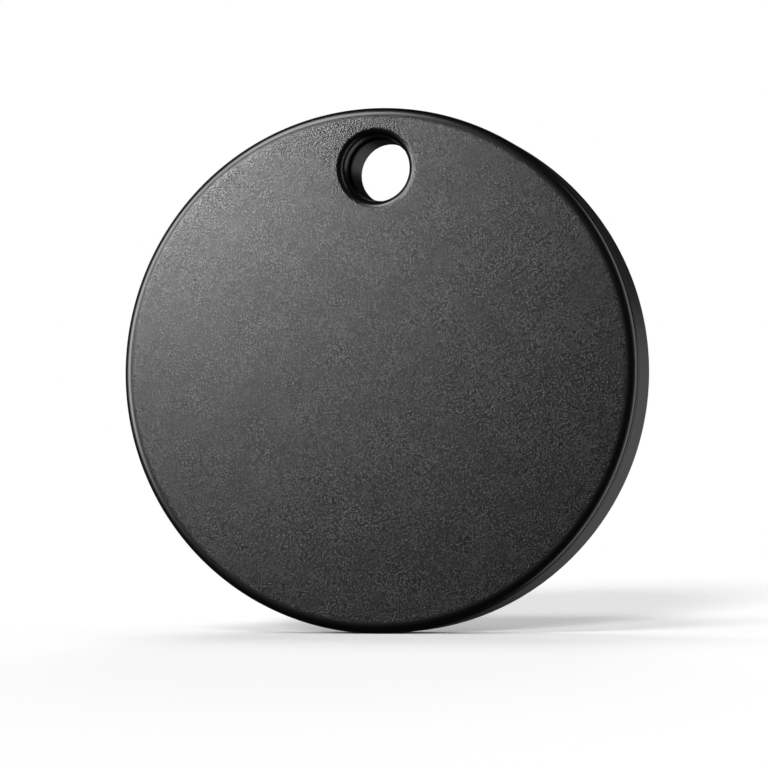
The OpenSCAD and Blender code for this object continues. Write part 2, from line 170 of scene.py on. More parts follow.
class TagCaseSettings(bpy.types.PropertyGroup):
    """Sizes of the two shells and the battery door."""

    edge_reach: length("Front edge, across", "How far the rounded front edge reaches in", 0.73)
    edge_fall: length("Front edge, depth", "How deep the rounded front edge falls from the face", 0.59)
    back_reach: length("Back edge, across", "How far the rounded back edge reaches in", 0.9)
    back_rise: length("Back edge, depth", "How deep the rounded back edge falls from the back", 0.9)
    rim_gap: length("Joint gap", "Width of the joint between the cover and the side wall", 0.2)
    soft_edge: length("Soft edge", "Radius on the edges beside the joints", 0.05)
    wall: length("Side wall", "Thickness of the side wall", 1.0)
    back_wall: length("Back wall", "Thickness of the back wall", 0.8)
    fit: length("Sliding fit", "Clearance round the cover's skirt and on the sleeve", 0.05)
    skirt: length("Skirt", "Thickness of the cover's skirt", 0.9)
    lip_radius: length("Lip radius", "Outside radius of the rounded lip round the key-ring hole", 2.95)
    lip_round: length("Lip rounding", "Radius of the lip's rounding at the face", 0.55)
    lip_fall: length("Lip fall", "Depth of the lip's rounding below the face", 0.6)
    lip_foot: length("Lip foot", "Radius of the lip where it ends at the joint", 2.4)
    lip_depth: length("Lip depth", "Depth of the joint in the hole below the front face", 1.58)
    sleeve: length("Sleeve", "Outside radius of the sleeve that carries the bore", 3.0)
    sleeve_gap: length("Sleeve gap", "Gap between the lip and the end of the sleeve", 0.18)
    flare: length("Flare", "Depth of the bore's flare at the back face", 1.9)
    slot_length: length("Coin slot, length", "Length of the coin slot in the battery door", 11.0)
    slot_width: length("Coin slot, width", "Width of the coin slot", 1.7)
    slot_depth: length("Coin slot, depth", "Depth of the coin slot", 0.4)


class TagFinishSettings(bpy.types.PropertyGroup):
    """Colours and grain of the finishes."""

    plastic: colour("Case plastic", "Colour of the case's plastic", (0.004, 0.004, 0.0042))
    grain_size: length("Grain size", "Size of the eroded grain on the two faces", 0.115)
    grain_depth: length("Grain depth", "Depth of the eroded grain", 0.004)
    face_gloss: share("Face roughness", "Roughness of the grained faces", 0.236)
    edge_gloss: share("Edge roughness", "Roughness of the smooth edges and lips", 0.3)
    wall_gloss: share("Wall roughness", "Roughness of the satin side wall", 0.42)


class TagStudioSettings(bpy.types.PropertyGroup):
    """Camera and floor."""

    camera_azimuth: angle("Camera azimuth", "Angle of the camera round the tag, from its front", 12.934)
    camera_elevation: angle("Camera elevation", "Angle of the camera above the level", -2.52)
    camera_roll: angle("Camera roll", "Turn of the camera about its own axis", -0.17)
    camera_distance: length("Camera distance", "Distance from the camera to the point it looks at", 255.25)
    camera_lens: bpy.props.FloatProperty(
        name="Lens", description="Focal length of the camera", default=164.06,
        subtype="DISTANCE_CAMERA", unit="CAMERA",
    )
    aim_side: length("Aim, left", "How far left of the tag's middle the camera looks", 0.153)
    aim_drop: length("Aim, below", "How far below the tag's middle the camera looks", 0.892)
    floor: colour("Floor", "Colour of the floor", (0.86, 0.86, 0.87))


def case_settings():
    """The case's sizes in millimetres, by name."""
    group = bpy.context.scene.tag_case
    return {name: getattr(group, name) / MM for name in group.__annotations__}


# ---- Modelling ----


def pick(piece):
    """Makes one object the only selected and active one."""
    bpy.ops.object.select_all(action="DESELECT")
    piece.select_set(True)
    bpy.context.view_layer.objects.active = piece


def arc(centre, reach, start, end, count=10):
    """Points of an elliptical arc. Angles are in degrees, from +radius towards +depth."""
    turns = [math.radians(start + (end - start) * step / count) for step in range(count + 1)]
    (u, v), (reach_u, reach_v) = centre, reach
    return [(u + reach_u * math.cos(turn), v + reach_v * math.sin(turn)) for turn in turns]


def ring_outline(inner, outer, start, end, soft=0.0):
    """Closed rectangular outline between two radii and two depths, with softened corners."""
    if not soft:
        return [(inner, start), (outer, start), (outer, end), (inner, end), (inner, start)]
    points = []
    for across, along, turn in (
        (inner + soft, start + soft, 180), (outer - soft, start + soft, 270),
        (outer - soft, end - soft, 0), (inner + soft, end - soft, 90),
    ):
        points += arc((across, along), (soft, soft), turn, turn + 90, 3)
    return points + points[:1]


def seal_groove(node, inner, outer):
    """Outline of the groove that holds a sealing ring, a hair deeper than the ring."""
    low, high = corners(node)
    return ring_outline(inner, outer, low.y - 0.01, high.y + 0.01)


def drawn(name, outline, axes="xy"):
    """Draws a line of edges through an outline's points, in the plane of two axes."""
    spots = [Vector(((u, v, 0.0) if axes == "xy" else (u, 0.0, v))) for u, v in outline]
    bpy.ops.object.select_all(action="DESELECT")
    bpy.ops.mesh.primitive_plane_add(size=1.0, location=(0.0, 0.0, 0.0))
    piece = bpy.context.active_object
    piece.name = name
    bpy.ops.object.mode_set(mode="EDIT")
    bpy.ops.mesh.select_all(action="SELECT")
    bpy.ops.mesh.merge(type="CENTER")
    bpy.ops.transform.translate(value=spots[0])
    for here, there in zip(spots, spots[1:]):
        bpy.ops.mesh.extrude_region_move(TRANSFORM_OT_translate={"value": there - here})
    bpy.ops.mesh.select_all(action="SELECT")
    bpy.ops.mesh.remove_doubles(threshold=MERGE)
    return piece


def closed(piece):
    """Stops the build if a mesh has an open or doubled edge."""
    mesh = bmesh.new()
    mesh.from_mesh(piece.data)
    loose = sum(not edge.is_manifold for edge in mesh.edges)
    mesh.free()
    if loose:
        raise RuntimeError(f"{piece.name} has {loose} open edges")
    return piece


def turned(name, outline, x=0.0, z=0.0, steps=PLAIN, turn=None, width=FULL_TURN):
    """Turns an outline about an axis along Y, as on a lathe. Less than a full turn makes a solid sector."""
    piece = drawn(name, outline)
    bpy.ops.mesh.select_all(action="SELECT")
    whole = width == FULL_TURN
    if not whole:
        bpy.ops.mesh.edge_face_add()
        first = math.radians(turn - width / 2)
        bpy.ops.object.mode_set(mode="OBJECT")
        piece.rotation_euler = (0.0, -first, 0.0)
        bpy.ops.object.transform_apply(location=False, rotation=True, scale=False)
        bpy.ops.object.mode_set(mode="EDIT")
        bpy.ops.mesh.select_all(action="SELECT")
    bpy.ops.mesh.spin(
        steps=steps, angle=math.radians(width), use_auto_merge=whole,
        center=(0.0, 0.0, 0.0), axis=(0.0, -1.0, 0.0),
    )
    bpy.ops.mesh.select_all(action="SELECT")
    bpy.ops.mesh.remove_doubles(threshold=MERGE)
    bpy.ops.mesh.normals_make_consistent(inside=False)
    bpy.ops.object.mode_set(mode="OBJECT")
    piece.location = (x, 0.0, z)
    bpy.ops.object.transform_apply(location=True, rotation=False, scale=False)
    return closed(piece)


def joined(name, pieces):
    """Joins separate solids into one object."""
    bpy.ops.object.select_all(action="DESELECT")
    for piece in pieces:
        piece.select_set(True)
    bpy.context.view_layer.objects.active = pieces[0]
    if len(pieces) > 1:
        bpy.ops.object.join()
    pieces[0].name = name
    return pieces[0]


def prism(name, outline, low, high, axis="y"):
    """Thickens a filled outline, of (x, z) pairs along Y or of (x, depth) pairs along Z."""
    piece = drawn(name, outline + outline[:1], "xz" if axis == "y" else "xy")
    bpy.ops.mesh.select_all(action="SELECT")
    bpy.ops.mesh.edge_face_add()
    shift = Vector((0.0, 1.0, 0.0)) if axis == "y" else Vector((0.0, 0.0, 1.0))
    bpy.ops.transform.translate(value=shift * low)
    bpy.ops.mesh.extrude_region_move(TRANSFORM_OT_translate={"value": shift * (high - low)})
    bpy.ops.mesh.select_all(action="SELECT")
    bpy.ops.mesh.normals_make_consistent(inside=False)
    bpy.ops.object.mode_set(mode="OBJECT")
    return closed(piece)


def combine(piece, tool, operation):
    """Adds a closed solid to a piece or cuts it away, and uses it up."""
    pick(piece)
    bpy.ops.object.modifier_add(type="BOOLEAN")
    boolean = piece.modifiers[-1]
    boolean.operation = operation
    boolean.object = tool
    boolean.solver = "MANIFOLD"
    bpy.ops.object.modifier_apply(modifier=boolean.name)
    bpy.data.objects.remove(tool)
    return piece


def add(piece, tool):
    """Melts a solid into a piece."""
    return combine(piece, tool, "UNION")


def cut(piece, tool):
    """Cuts a solid out of a piece."""
    return combine(piece, tool, "DIFFERENCE")


def soften(piece, size, test, segments=3):
    """Rounds the edges whose middle passes a test."""
    pick(piece)
    bpy.ops.object.mode_set(mode="EDIT")
    bpy.ops.mesh.select_mode(type="EDGE")
    bpy.ops.mesh.select_all(action="DESELECT")
    mesh = bmesh.from_edit_mesh(piece.data)
    for edge in mesh.edges:
        middle = piece.matrix_world @ ((edge.verts[0].co + edge.verts[1].co) / 2)
        if edge.calc_face_angle(0.0) > CREASE and test(middle):
            edge.select_set(True)
    bmesh.update_edit_mesh(piece.data)
    bpy.ops.mesh.bevel(offset=size, segments=segments, affect="EDGES")
    bpy.ops.mesh.select_mode(type="VERT")
    bpy.ops.object.mode_set(mode="OBJECT")
    return piece


def bevelled(piece, size):
    """Rounds every sharp edge of a small part."""
    pick(piece)
    bpy.ops.object.modifier_add(type="BEVEL")
    bevel = piece.modifiers[-1]
    bevel.width = size
    bevel.segments = 2
    bevel.limit_method = "ANGLE"
    bevel.angle_limit = CREASE
    bpy.ops.object.modifier_apply(modifier=bevel.name)
    return piece


def placed(piece, x=0.0, depth=0.0, z=0.0, turn=0.0):
    """Turns a part about Y, in degrees from +X towards +Z, and moves it into place."""
    pick(piece)
    piece.rotation_euler = (0.0, -math.radians(turn), 0.0)
    piece.location = (x, depth, z)
    bpy.ops.object.transform_apply(location=True, rotation=True, scale=True)
    return piece


def copied(piece, name):
    """A copy of a part with its own mesh."""
    twin = piece.copy()
    twin.data = piece.data.copy()
    twin.name = name
    bpy.context.scene.collection.objects.link(twin)
    return twin


def middle_of(node):
    """Centre of a frame node's box, in millimetres."""
    low, high = corners(node)
    return (low + high) / 2


def block(name, width, height, low, high, soft=0.0, x=0.0):
    """Box between two depths, with rounded edges."""
    bpy.ops.object.select_all(action="DESELECT")
    bpy.ops.mesh.primitive_cube_add(size=1.0, location=(x, (low + high) / 2, 0.0))
    piece = bpy.context.active_object
    piece.name = name
    piece.scale = (width, abs(high - low), height)
    bpy.ops.object.transform_apply(location=True, rotation=True, scale=True)
    return bevelled(piece, soft) if soft else piece


def plate(name, width, height, low, high, corner, soft):
    """Box whose corners are rounded more than its faces' edges."""
    piece = block(name, width, height, low, high)
    middle = (low + high) / 2
    soften(piece, corner, lambda spot: abs(spot.y - middle) < abs(high - low) / 10, 4)
    return bevelled(piece, soft)


def disc_outline(outer, start, end, soft):
    """Outline of a disc between two depths, with rounded edges."""
    outline = [(0.0, start), *arc((outer - soft, start + soft), (soft, soft), 270, 360, 3)]
    return [*outline, *arc((outer - soft, end - soft), (soft, soft), 0, 90, 3), (0.0, end)]


def repeated(master, name, places):
    """Copies of a part at several places, each x, depth, z and turn. Uses the part up."""
    copies = [placed(copied(master, name), *place) for place in places]
    bpy.data.objects.remove(master)
    return joined(name, copies)


def finished(piece, body, slot, *nodes):
    """Shrinks a piece to metres, smooths its shading, gives it its finish, hangs it on its body and hides
    the frame nodes that it stands for.
    """
    closed(piece)
    pick(piece)
    piece.scale = (MM, MM, MM)
    bpy.ops.object.transform_apply(location=True, rotation=True, scale=True)
    bpy.ops.object.shade_smooth_by_angle(angle=CREASE)
    bpy.ops.object.modifier_add(type="WEIGHTED_NORMAL")
    weighted = piece.modifiers[-1]
    weighted.keep_sharp = True
    weighted.weight = 80
    bpy.ops.object.modifier_apply(modifier=weighted.name)
    piece.data.materials.clear()
    piece.data.materials.append(finish_of(slot))
    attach(piece, body)
    if nodes:
        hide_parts(*nodes)
    return piece


# ---- Finishes ----


class Value:
    """A socket's value in a material. Arithmetic on it adds Math nodes."""

    def __init__(self, recipe, socket):
        self.recipe = recipe
        self.socket = socket

    def math(self, operation, *terms):
        """One Math node on some terms."""
        return self.recipe.node("ShaderNodeMath", 0, {"operation": operation}, dict(enumerate(terms)))

    def __add__(self, other):
        return self.math("ADD", self, other)

    def __radd__(self, other):
        return self.math("ADD", other, self)

    def __sub__(self, other):
        return self.math("SUBTRACT", self, other)

    def __rsub__(self, other):
        return self.math("SUBTRACT", other, self)

    def __mul__(self, other):
        return self.math("MULTIPLY", self, other)

    def __rmul__(self, other):
        return self.math("MULTIPLY", other, self)

    def __pow__(self, other):
        return self.math("POWER", self, other)


class Recipe:
    """A material's node tree while it is being put together."""

    def __init__(self, name):
        self.material = bpy.data.materials.new(name)
        self.material.use_nodes = True
        self.tree = self.material.node_tree
        self.tree.nodes.clear()
        self.place = self.node("ShaderNodeTexCoord", "Object")
        self.x, self.y, self.z = [
            self.node("ShaderNodeSeparateXYZ", axis, {}, {"Vector": self.place}) for axis in ("X", "Y", "Z")
        ]

    def node(self, kind, out=0, settings=None, values=None):
        """Adds any node, with its settings and its sockets' values or links. Returns one output."""
        made = self.tree.nodes.new(kind)
        for name, setting in (settings or {}).items():
            setattr(made, name, setting)
        for name, value in (values or {}).items():
            if isinstance(value, Value):
                self.tree.links.new(value.socket, made.inputs[name])
            else:
                made.inputs[name].default_value = value
        return Value(self, made.outputs[out])

    def noise(self, size, detail=2.0, roughness=0.5, stretch=None):
        """Cloudy noise from 0 to 1, with lumps of a size in millimetres."""
        place = self.place
        if stretch:
            place = self.node("ShaderNodeVectorMath", 0, {"operation": "MULTIPLY"}, {0: place, 1: stretch})
        values = {"Vector": place, "Scale": 1.0 / (size * MM), "Detail": detail, "Roughness": roughness}
        return self.node("ShaderNodeTexNoise", 0, {}, values)

    def fade(self, value, start, end):
        """Smooth rise from 0 to 1 between two places, in millimetres."""
        values = {"Value": value, "From Min": start * MM, "From Max": end * MM}
        return self.node("ShaderNodeMapRange", 0, {"interpolation_type": "SMOOTHSTEP"}, values)

    def spread(self, value, low, high):
        """Stretches a noise's usual range, 0.3 to 0.7, to two numbers."""
        values = {"Value": value, "From Min": 0.3, "From Max": 0.7, "To Min": low, "To Max": high}
        return self.node("ShaderNodeMapRange", 0, {}, values)

    def around(self, x, z):
        """Distance from an axis along Y, in metres."""
        return ((self.x - x * MM) ** 2.0 + (self.z - z * MM) ** 2.0) ** 0.5

    def mix(self, factor, first, second):
        """Mixes two colours."""
        values = {0: factor, 6: first, 7: second}
        return self.node("ShaderNodeMix", 2, {"data_type": "RGBA"}, values)

    def bump(self, height, depth):
        """A bumped normal from a height of 0 to 1, with a depth in millimetres."""
        values = {"Height": height, "Distance": depth * MM, "Strength": 1.0}
        return self.node("ShaderNodeBump", 0, {}, values)

    def surface(self, **values):
        """Ends the recipe in one principled surface. Underscores in names stand for spaces."""
        values = {name.replace("_", " "): value for name, value in values.items()}
        return self.end(self.node("ShaderNodeBsdfPrincipled", 0, {}, values))

    def end(self, shader):
        """Links a shader to the material's output."""
        output = self.tree.nodes.new("ShaderNodeOutputMaterial")
        self.tree.links.new(shader.socket, output.inputs["Surface"])
        return self.material


def rgba(tint, factor=1.0):
    """A colour with its alpha, made lighter or darker."""
    return (*[min(1.0, part * factor) for part in tint], 1.0)


def grained(recipe, mask, sheen):
    """Surface values of eroded grain where a mask is 1, and of satin plastic where it is 0."""
    finish = bpy.context.scene.tag_finish
    size = finish.grain_size / MM
    grain = recipe.spread(recipe.noise(size, 1.0, 0.6), -0.5, 1.5) * mask
    cloud = recipe.spread(recipe.noise(4.0, 2.0), 0.96, 1.04)
    smooth = recipe.noise(0.06, 1.0) * 0.15
    return {
        "Base_Color": recipe.mix(grain * grain, rgba(finish.plastic, 0.0), rgba(finish.plastic, 3.0)),
        "Roughness": (finish.face_gloss + grain * 0.04) * cloud * mask + (1.0 - mask) * sheen,
        "Coat_Weight": grain,
        "Coat_Roughness": finish.face_gloss,
        "Normal": recipe.bump(grain + smooth * (1.0 - mask), finish.grain_depth / MM),
        "IOR": 1.5,
    }


def flat_of_face(recipe, edge):
    """Mask of a face's flat part, between the hole's lip and the rounded edge, ragged at both."""
    case = case_settings()
    ragged = (recipe.noise(0.35, 3.0) - 0.5) * (0.5 * MM)
    flat, lip = CASE_R - case[edge], case["lip_radius"]
    inside = 1.0 - recipe.fade(recipe.around(0.0, MIDDLE) + ragged, flat - 0.16, flat + 0.1)
    return inside * recipe.fade(recipe.around(0.0, HOLE_Z) + ragged, lip - 0.18, lip + 0.02)


def cover_plastic():
    """Black plastic, eroded grain on the face, smooth on the rounded edge and the lip."""
    recipe = Recipe("cover plastic")
    facing = 1.0 - recipe.fade(recipe.y, FRONT + 0.03, FRONT + 0.12)
    mask = flat_of_face(recipe, "edge_reach") * facing
    return recipe.surface(**grained(recipe, mask, bpy.context.scene.tag_finish.edge_gloss))


def body_plastic():
    """Black plastic, satin side wall, eroded grain on the back face."""
    recipe = Recipe("body plastic")
    mask = flat_of_face(recipe, "back_reach") * recipe.fade(recipe.y, BACK - 0.12, BACK - 0.03)
    return recipe.surface(**grained(recipe, mask, bpy.context.scene.tag_finish.wall_gloss))


def door_plastic():
    """Black plastic, eroded grain on the back face, satin in the slot and on the neck."""
    recipe = Recipe("door plastic")
    facing = recipe.fade(recipe.y, BACK - 0.1, BACK - 0.03)
    return recipe.surface(**grained(recipe, facing, bpy.context.scene.tag_finish.wall_gloss))


def moulded(name, tint, rough, lump=0.12, depth=0.004, **extra):
    """Moulded or cast material: faint mottling and a fine skin."""
    recipe = Recipe(name)
    cloud = recipe.spread(recipe.noise(lump * 12.0), 0.0, 1.0)
    skin = recipe.noise(lump, 3.0)
    tone = recipe.mix(cloud, rgba(tint, 0.85), rgba(tint, 1.15))
    return recipe.surface(
        Base_Color=tone, Roughness=rough + (skin - 0.5) * 0.15, Normal=recipe.bump(skin, depth), **extra
    )


def rolled(name, tint, rough, stretch=(1.0, 1.0, 12.0), lump=0.3, depth=0.0015):
    """Metal with fine rolling or plating marks along one direction."""
    recipe = Recipe(name)
    marks = recipe.noise(lump, 4.0, 0.6, stretch=stretch)
    cloud = recipe.spread(recipe.noise(2.5), 0.0, 1.0)
    tone = recipe.mix(cloud, rgba(tint, 0.96), rgba(tint, 1.03))
    rough = rough + (marks - 0.5) * 0.25 + (cloud - 0.5) * 0.06
    return recipe.surface(Base_Color=tone, Metallic=1.0, Roughness=rough, Normal=recipe.bump(marks, depth))


def board_laminate():
    """Green solder mask over copper tracks on the faces, bare laminate with its weave on the edges."""
    recipe = Recipe("board laminate")
    bands = {"wave_type": "BANDS", "bands_direction": "X"}
    values = {"Vector": recipe.place, "Scale": 900.0, "Distortion": 1.0}
    weave = recipe.node("ShaderNodeTexWave", 0, bands, values)
    # Patches a few millimetres across, each with its own direction of tracks or left empty
    values = {"Vector": recipe.place, "Scale": 330.0}
    patch = {0: recipe.node("ShaderNodeTexVoronoi", "Color", {"distance": "CHEBYCHEV"}, values)}
    turn, full = [recipe.node("ShaderNodeSeparateColor", part, {}, patch) for part in ("Red", "Green")]
    upright = turn.math("GREATER_THAN", turn, 0.5)
    across = recipe.node("ShaderNodeMix", 0, {}, {0: upright, 2: recipe.x, 3: recipe.z})
    track_pitch = 0.44
    lines = recipe.fade(across.math("PINGPONG", across, track_pitch / 2 * MM), 0.13, 0.15)
    copper = lines * full.math("GREATER_THAN", full, 0.4)
    face = 1.0 - recipe.fade(recipe.y, BOARD_FRONT + 0.02, BOARD_FRONT + 0.06)
    face = face + recipe.fade(recipe.y, BOARD_BACK - 0.06, BOARD_BACK - 0.02)
    mask = recipe.mix(copper, (0.006, 0.06, 0.03, 1.0), (0.014, 0.13, 0.06, 1.0))
    edge = recipe.mix(weave, (0.35, 0.33, 0.16, 1.0), (0.5, 0.46, 0.25, 1.0))
    normal = recipe.bump(copper * face + weave * (1.0 - face) * 0.4, 0.02)
    return recipe.surface(
        Base_Color=recipe.mix(face, edge, mask), Roughness=0.65 - face * 0.4,
        Normal=normal, Coat_Weight=face * 0.3,
    )


FINISHES = {
    "cover_plastic": cover_plastic,
    "body_plastic": body_plastic,
    "door_plastic": door_plastic,
    "seal_rubber": lambda: moulded("seal rubber", (0.035, 0.035, 0.037), 0.75, 0.05),
    "door_seal_rubber": lambda: moulded("door seal silicone", (0.32, 0.05, 0.03), 0.6, 0.05),
    "cell_steel": lambda: rolled("cell steel", (0.72, 0.72, 0.71), 0.3),
    "cell_insulator": lambda: moulded("cell insulator", (0.75, 0.75, 0.7), 0.5, Subsurface_Weight=0.2),
    "contact_metal": lambda: rolled("contact metal", (0.83, 0.66, 0.36), 0.28),
    "board_laminate": board_laminate,
    "chip_mould": lambda: moulded("chip mould", (0.02, 0.02, 0.021), 0.55, 0.06, 0.006),
    "crystal_can": lambda: rolled("crystal can", (0.78, 0.76, 0.72), 0.25),
    "antenna_ceramic": lambda: moulded("antenna ceramic", (0.78, 0.8, 0.83), 0.35, 0.08),
    "coil_ferrite": lambda: moulded("coil ferrite", (0.045, 0.043, 0.045), 0.5, 0.05, 0.008),
    "capacitor_ceramic": lambda: moulded("capacitor ceramic", (0.42, 0.27, 0.15), 0.45, 0.05),
    "resistor_film": lambda: moulded("resistor film", (0.02, 0.02, 0.025), 0.3, 0.05),
    "sounder_brass": lambda: rolled("sounder brass", (0.8, 0.62, 0.28), 0.3, (1.0, 1.0, 14.0)),
    "sounder_ceramic": lambda: moulded("sounder ceramic", (0.8, 0.78, 0.7), 0.4, 0.06),
    "adhesive": lambda: moulded("adhesive", (0.8, 0.8, 0.76), 0.4, 0.1),
    "switch_mould": lambda: moulded("switch mould", (0.03, 0.03, 0.032), 0.45, 0.05),
    "tinned_metal": lambda: rolled("tinned metal", (0.76, 0.76, 0.75), 0.35, (1.0, 1.0, 1.0)),
    "dome_steel": lambda: rolled("dome steel", (0.7, 0.7, 0.7), 0.22),
    "plunger_plastic": lambda: moulded("plunger plastic", (0.45, 0.05, 0.04), 0.4, 0.06),
}


def finish_of(slot):
    """The finish of a material slot, made the first time it is asked for."""
    key = slot + "_finish"
    if key not in bpy.data.materials:
        FINISHES[slot]().name = key
    return bpy.data.materials[key]


# ---- Pieces ----


class TAG_OT_front_cover(bpy.types.Operator):
    """Front cover: push plate, rounded edge, skirt, lip, collar, snap lugs and sounder rib"""

    bl_idname = "tag.front_cover"
    bl_label = "Front cover"

    def execute(self, context):
        case = case_settings()
        flat = CASE_R - case["edge_reach"]
        fall = case["edge_fall"]
        soft = case["soft_edge"]
        foot = RIM - case["rim_gap"]
        skirt_out = CASE_R - case["wall"] - case["fit"]
        skirt_in = skirt_out - case["skirt"]
        outline = [(0.0, FRONT), (flat - BAND, FRONT)]
        outline += arc((flat, FRONT + fall), (case["edge_reach"], fall), 270, 360, 16)
        outline += arc((CASE_R - soft, foot - soft), (soft, soft), 0, 90, 4)
        outline += [(skirt_out, foot), (skirt_out, SKIRT_END - 0.1), (skirt_out - 0.1, SKIRT_END)]
        outline += [(skirt_in, SKIRT_END), (skirt_in, UNDER), (0.0, UNDER)]
        cover = turned("front_cover_shell", outline, z=MIDDLE, steps=FINE)

        # The collar and the rib start inside the push plate
        root = UNDER - 0.4
        collar = turned("collar", self.disc(case["sleeve"] + 0.5, root, SKIRT_END), z=HOLE_Z)
        limit = turned("limit", self.disc(skirt_out - 0.02, FRONT, BACK), z=MIDDLE, steps=FINE)
        add(cover, combine(collar, limit, "INTERSECT"))
        lug = ring_outline(skirt_in + 0.45, skirt_out + 0.3, SKIRT_END - 0.35, SKIRT_END, 0.04)
        lugs = [turned("lug", lug, z=MIDDLE, steps=10, turn=turn, width=12.0) for turn in QUARTERS]
        for piece in lugs:
            add(cover, piece)
        plate_low, plate_high = corners("piezo_plate")
        rib_in = (plate_high.x - plate_low.x) / 2 + 0.15
        rib = ring_outline(rib_in, rib_in + 0.35, root, UNDER + 0.2)
        add(cover, turned("rib", rib, z=(plate_low.z + plate_high.z) / 2))

        groove = seal_groove("cover_seal", skirt_out - 0.46, skirt_out + 0.02)
        cut(cover, turned("groove", groove, z=MIDDLE, steps=FINE))
        cut(cover, self.lip_tool(case))
        finished(cover, "cover", "cover_plastic", "front_cover")
        return {"FINISHED"}

    def disc(self, radius, start, end):
        """Outline of a plain disc."""
        return [(0.0, start), (radius, start), (radius, end), (0.0, end)]

    def lip_tool(self, case):
        """Space inside the lip and round the sleeve below it."""
        lip, fall = case["lip_radius"], case["lip_fall"]
        depth = FRONT + case["lip_depth"]
        soft = case["soft_edge"]
        clearance = case["sleeve"] + case["fit"]
        outline = [(0.0, FRONT - PAST), (lip + 0.02, FRONT - PAST), (lip + 0.02, FRONT)]
        outline += arc((lip, FRONT + fall), (case["lip_round"], fall), 268, 180, 20)
        outline += arc((case["lip_foot"] + soft, depth - soft), (soft, soft), 180, 90, 3)
        outline += [(clearance, depth), (clearance, PAST), (0.0, PAST)]
        return turned("lip_tool", outline, z=HOLE_Z, steps=HOLE_STEPS)


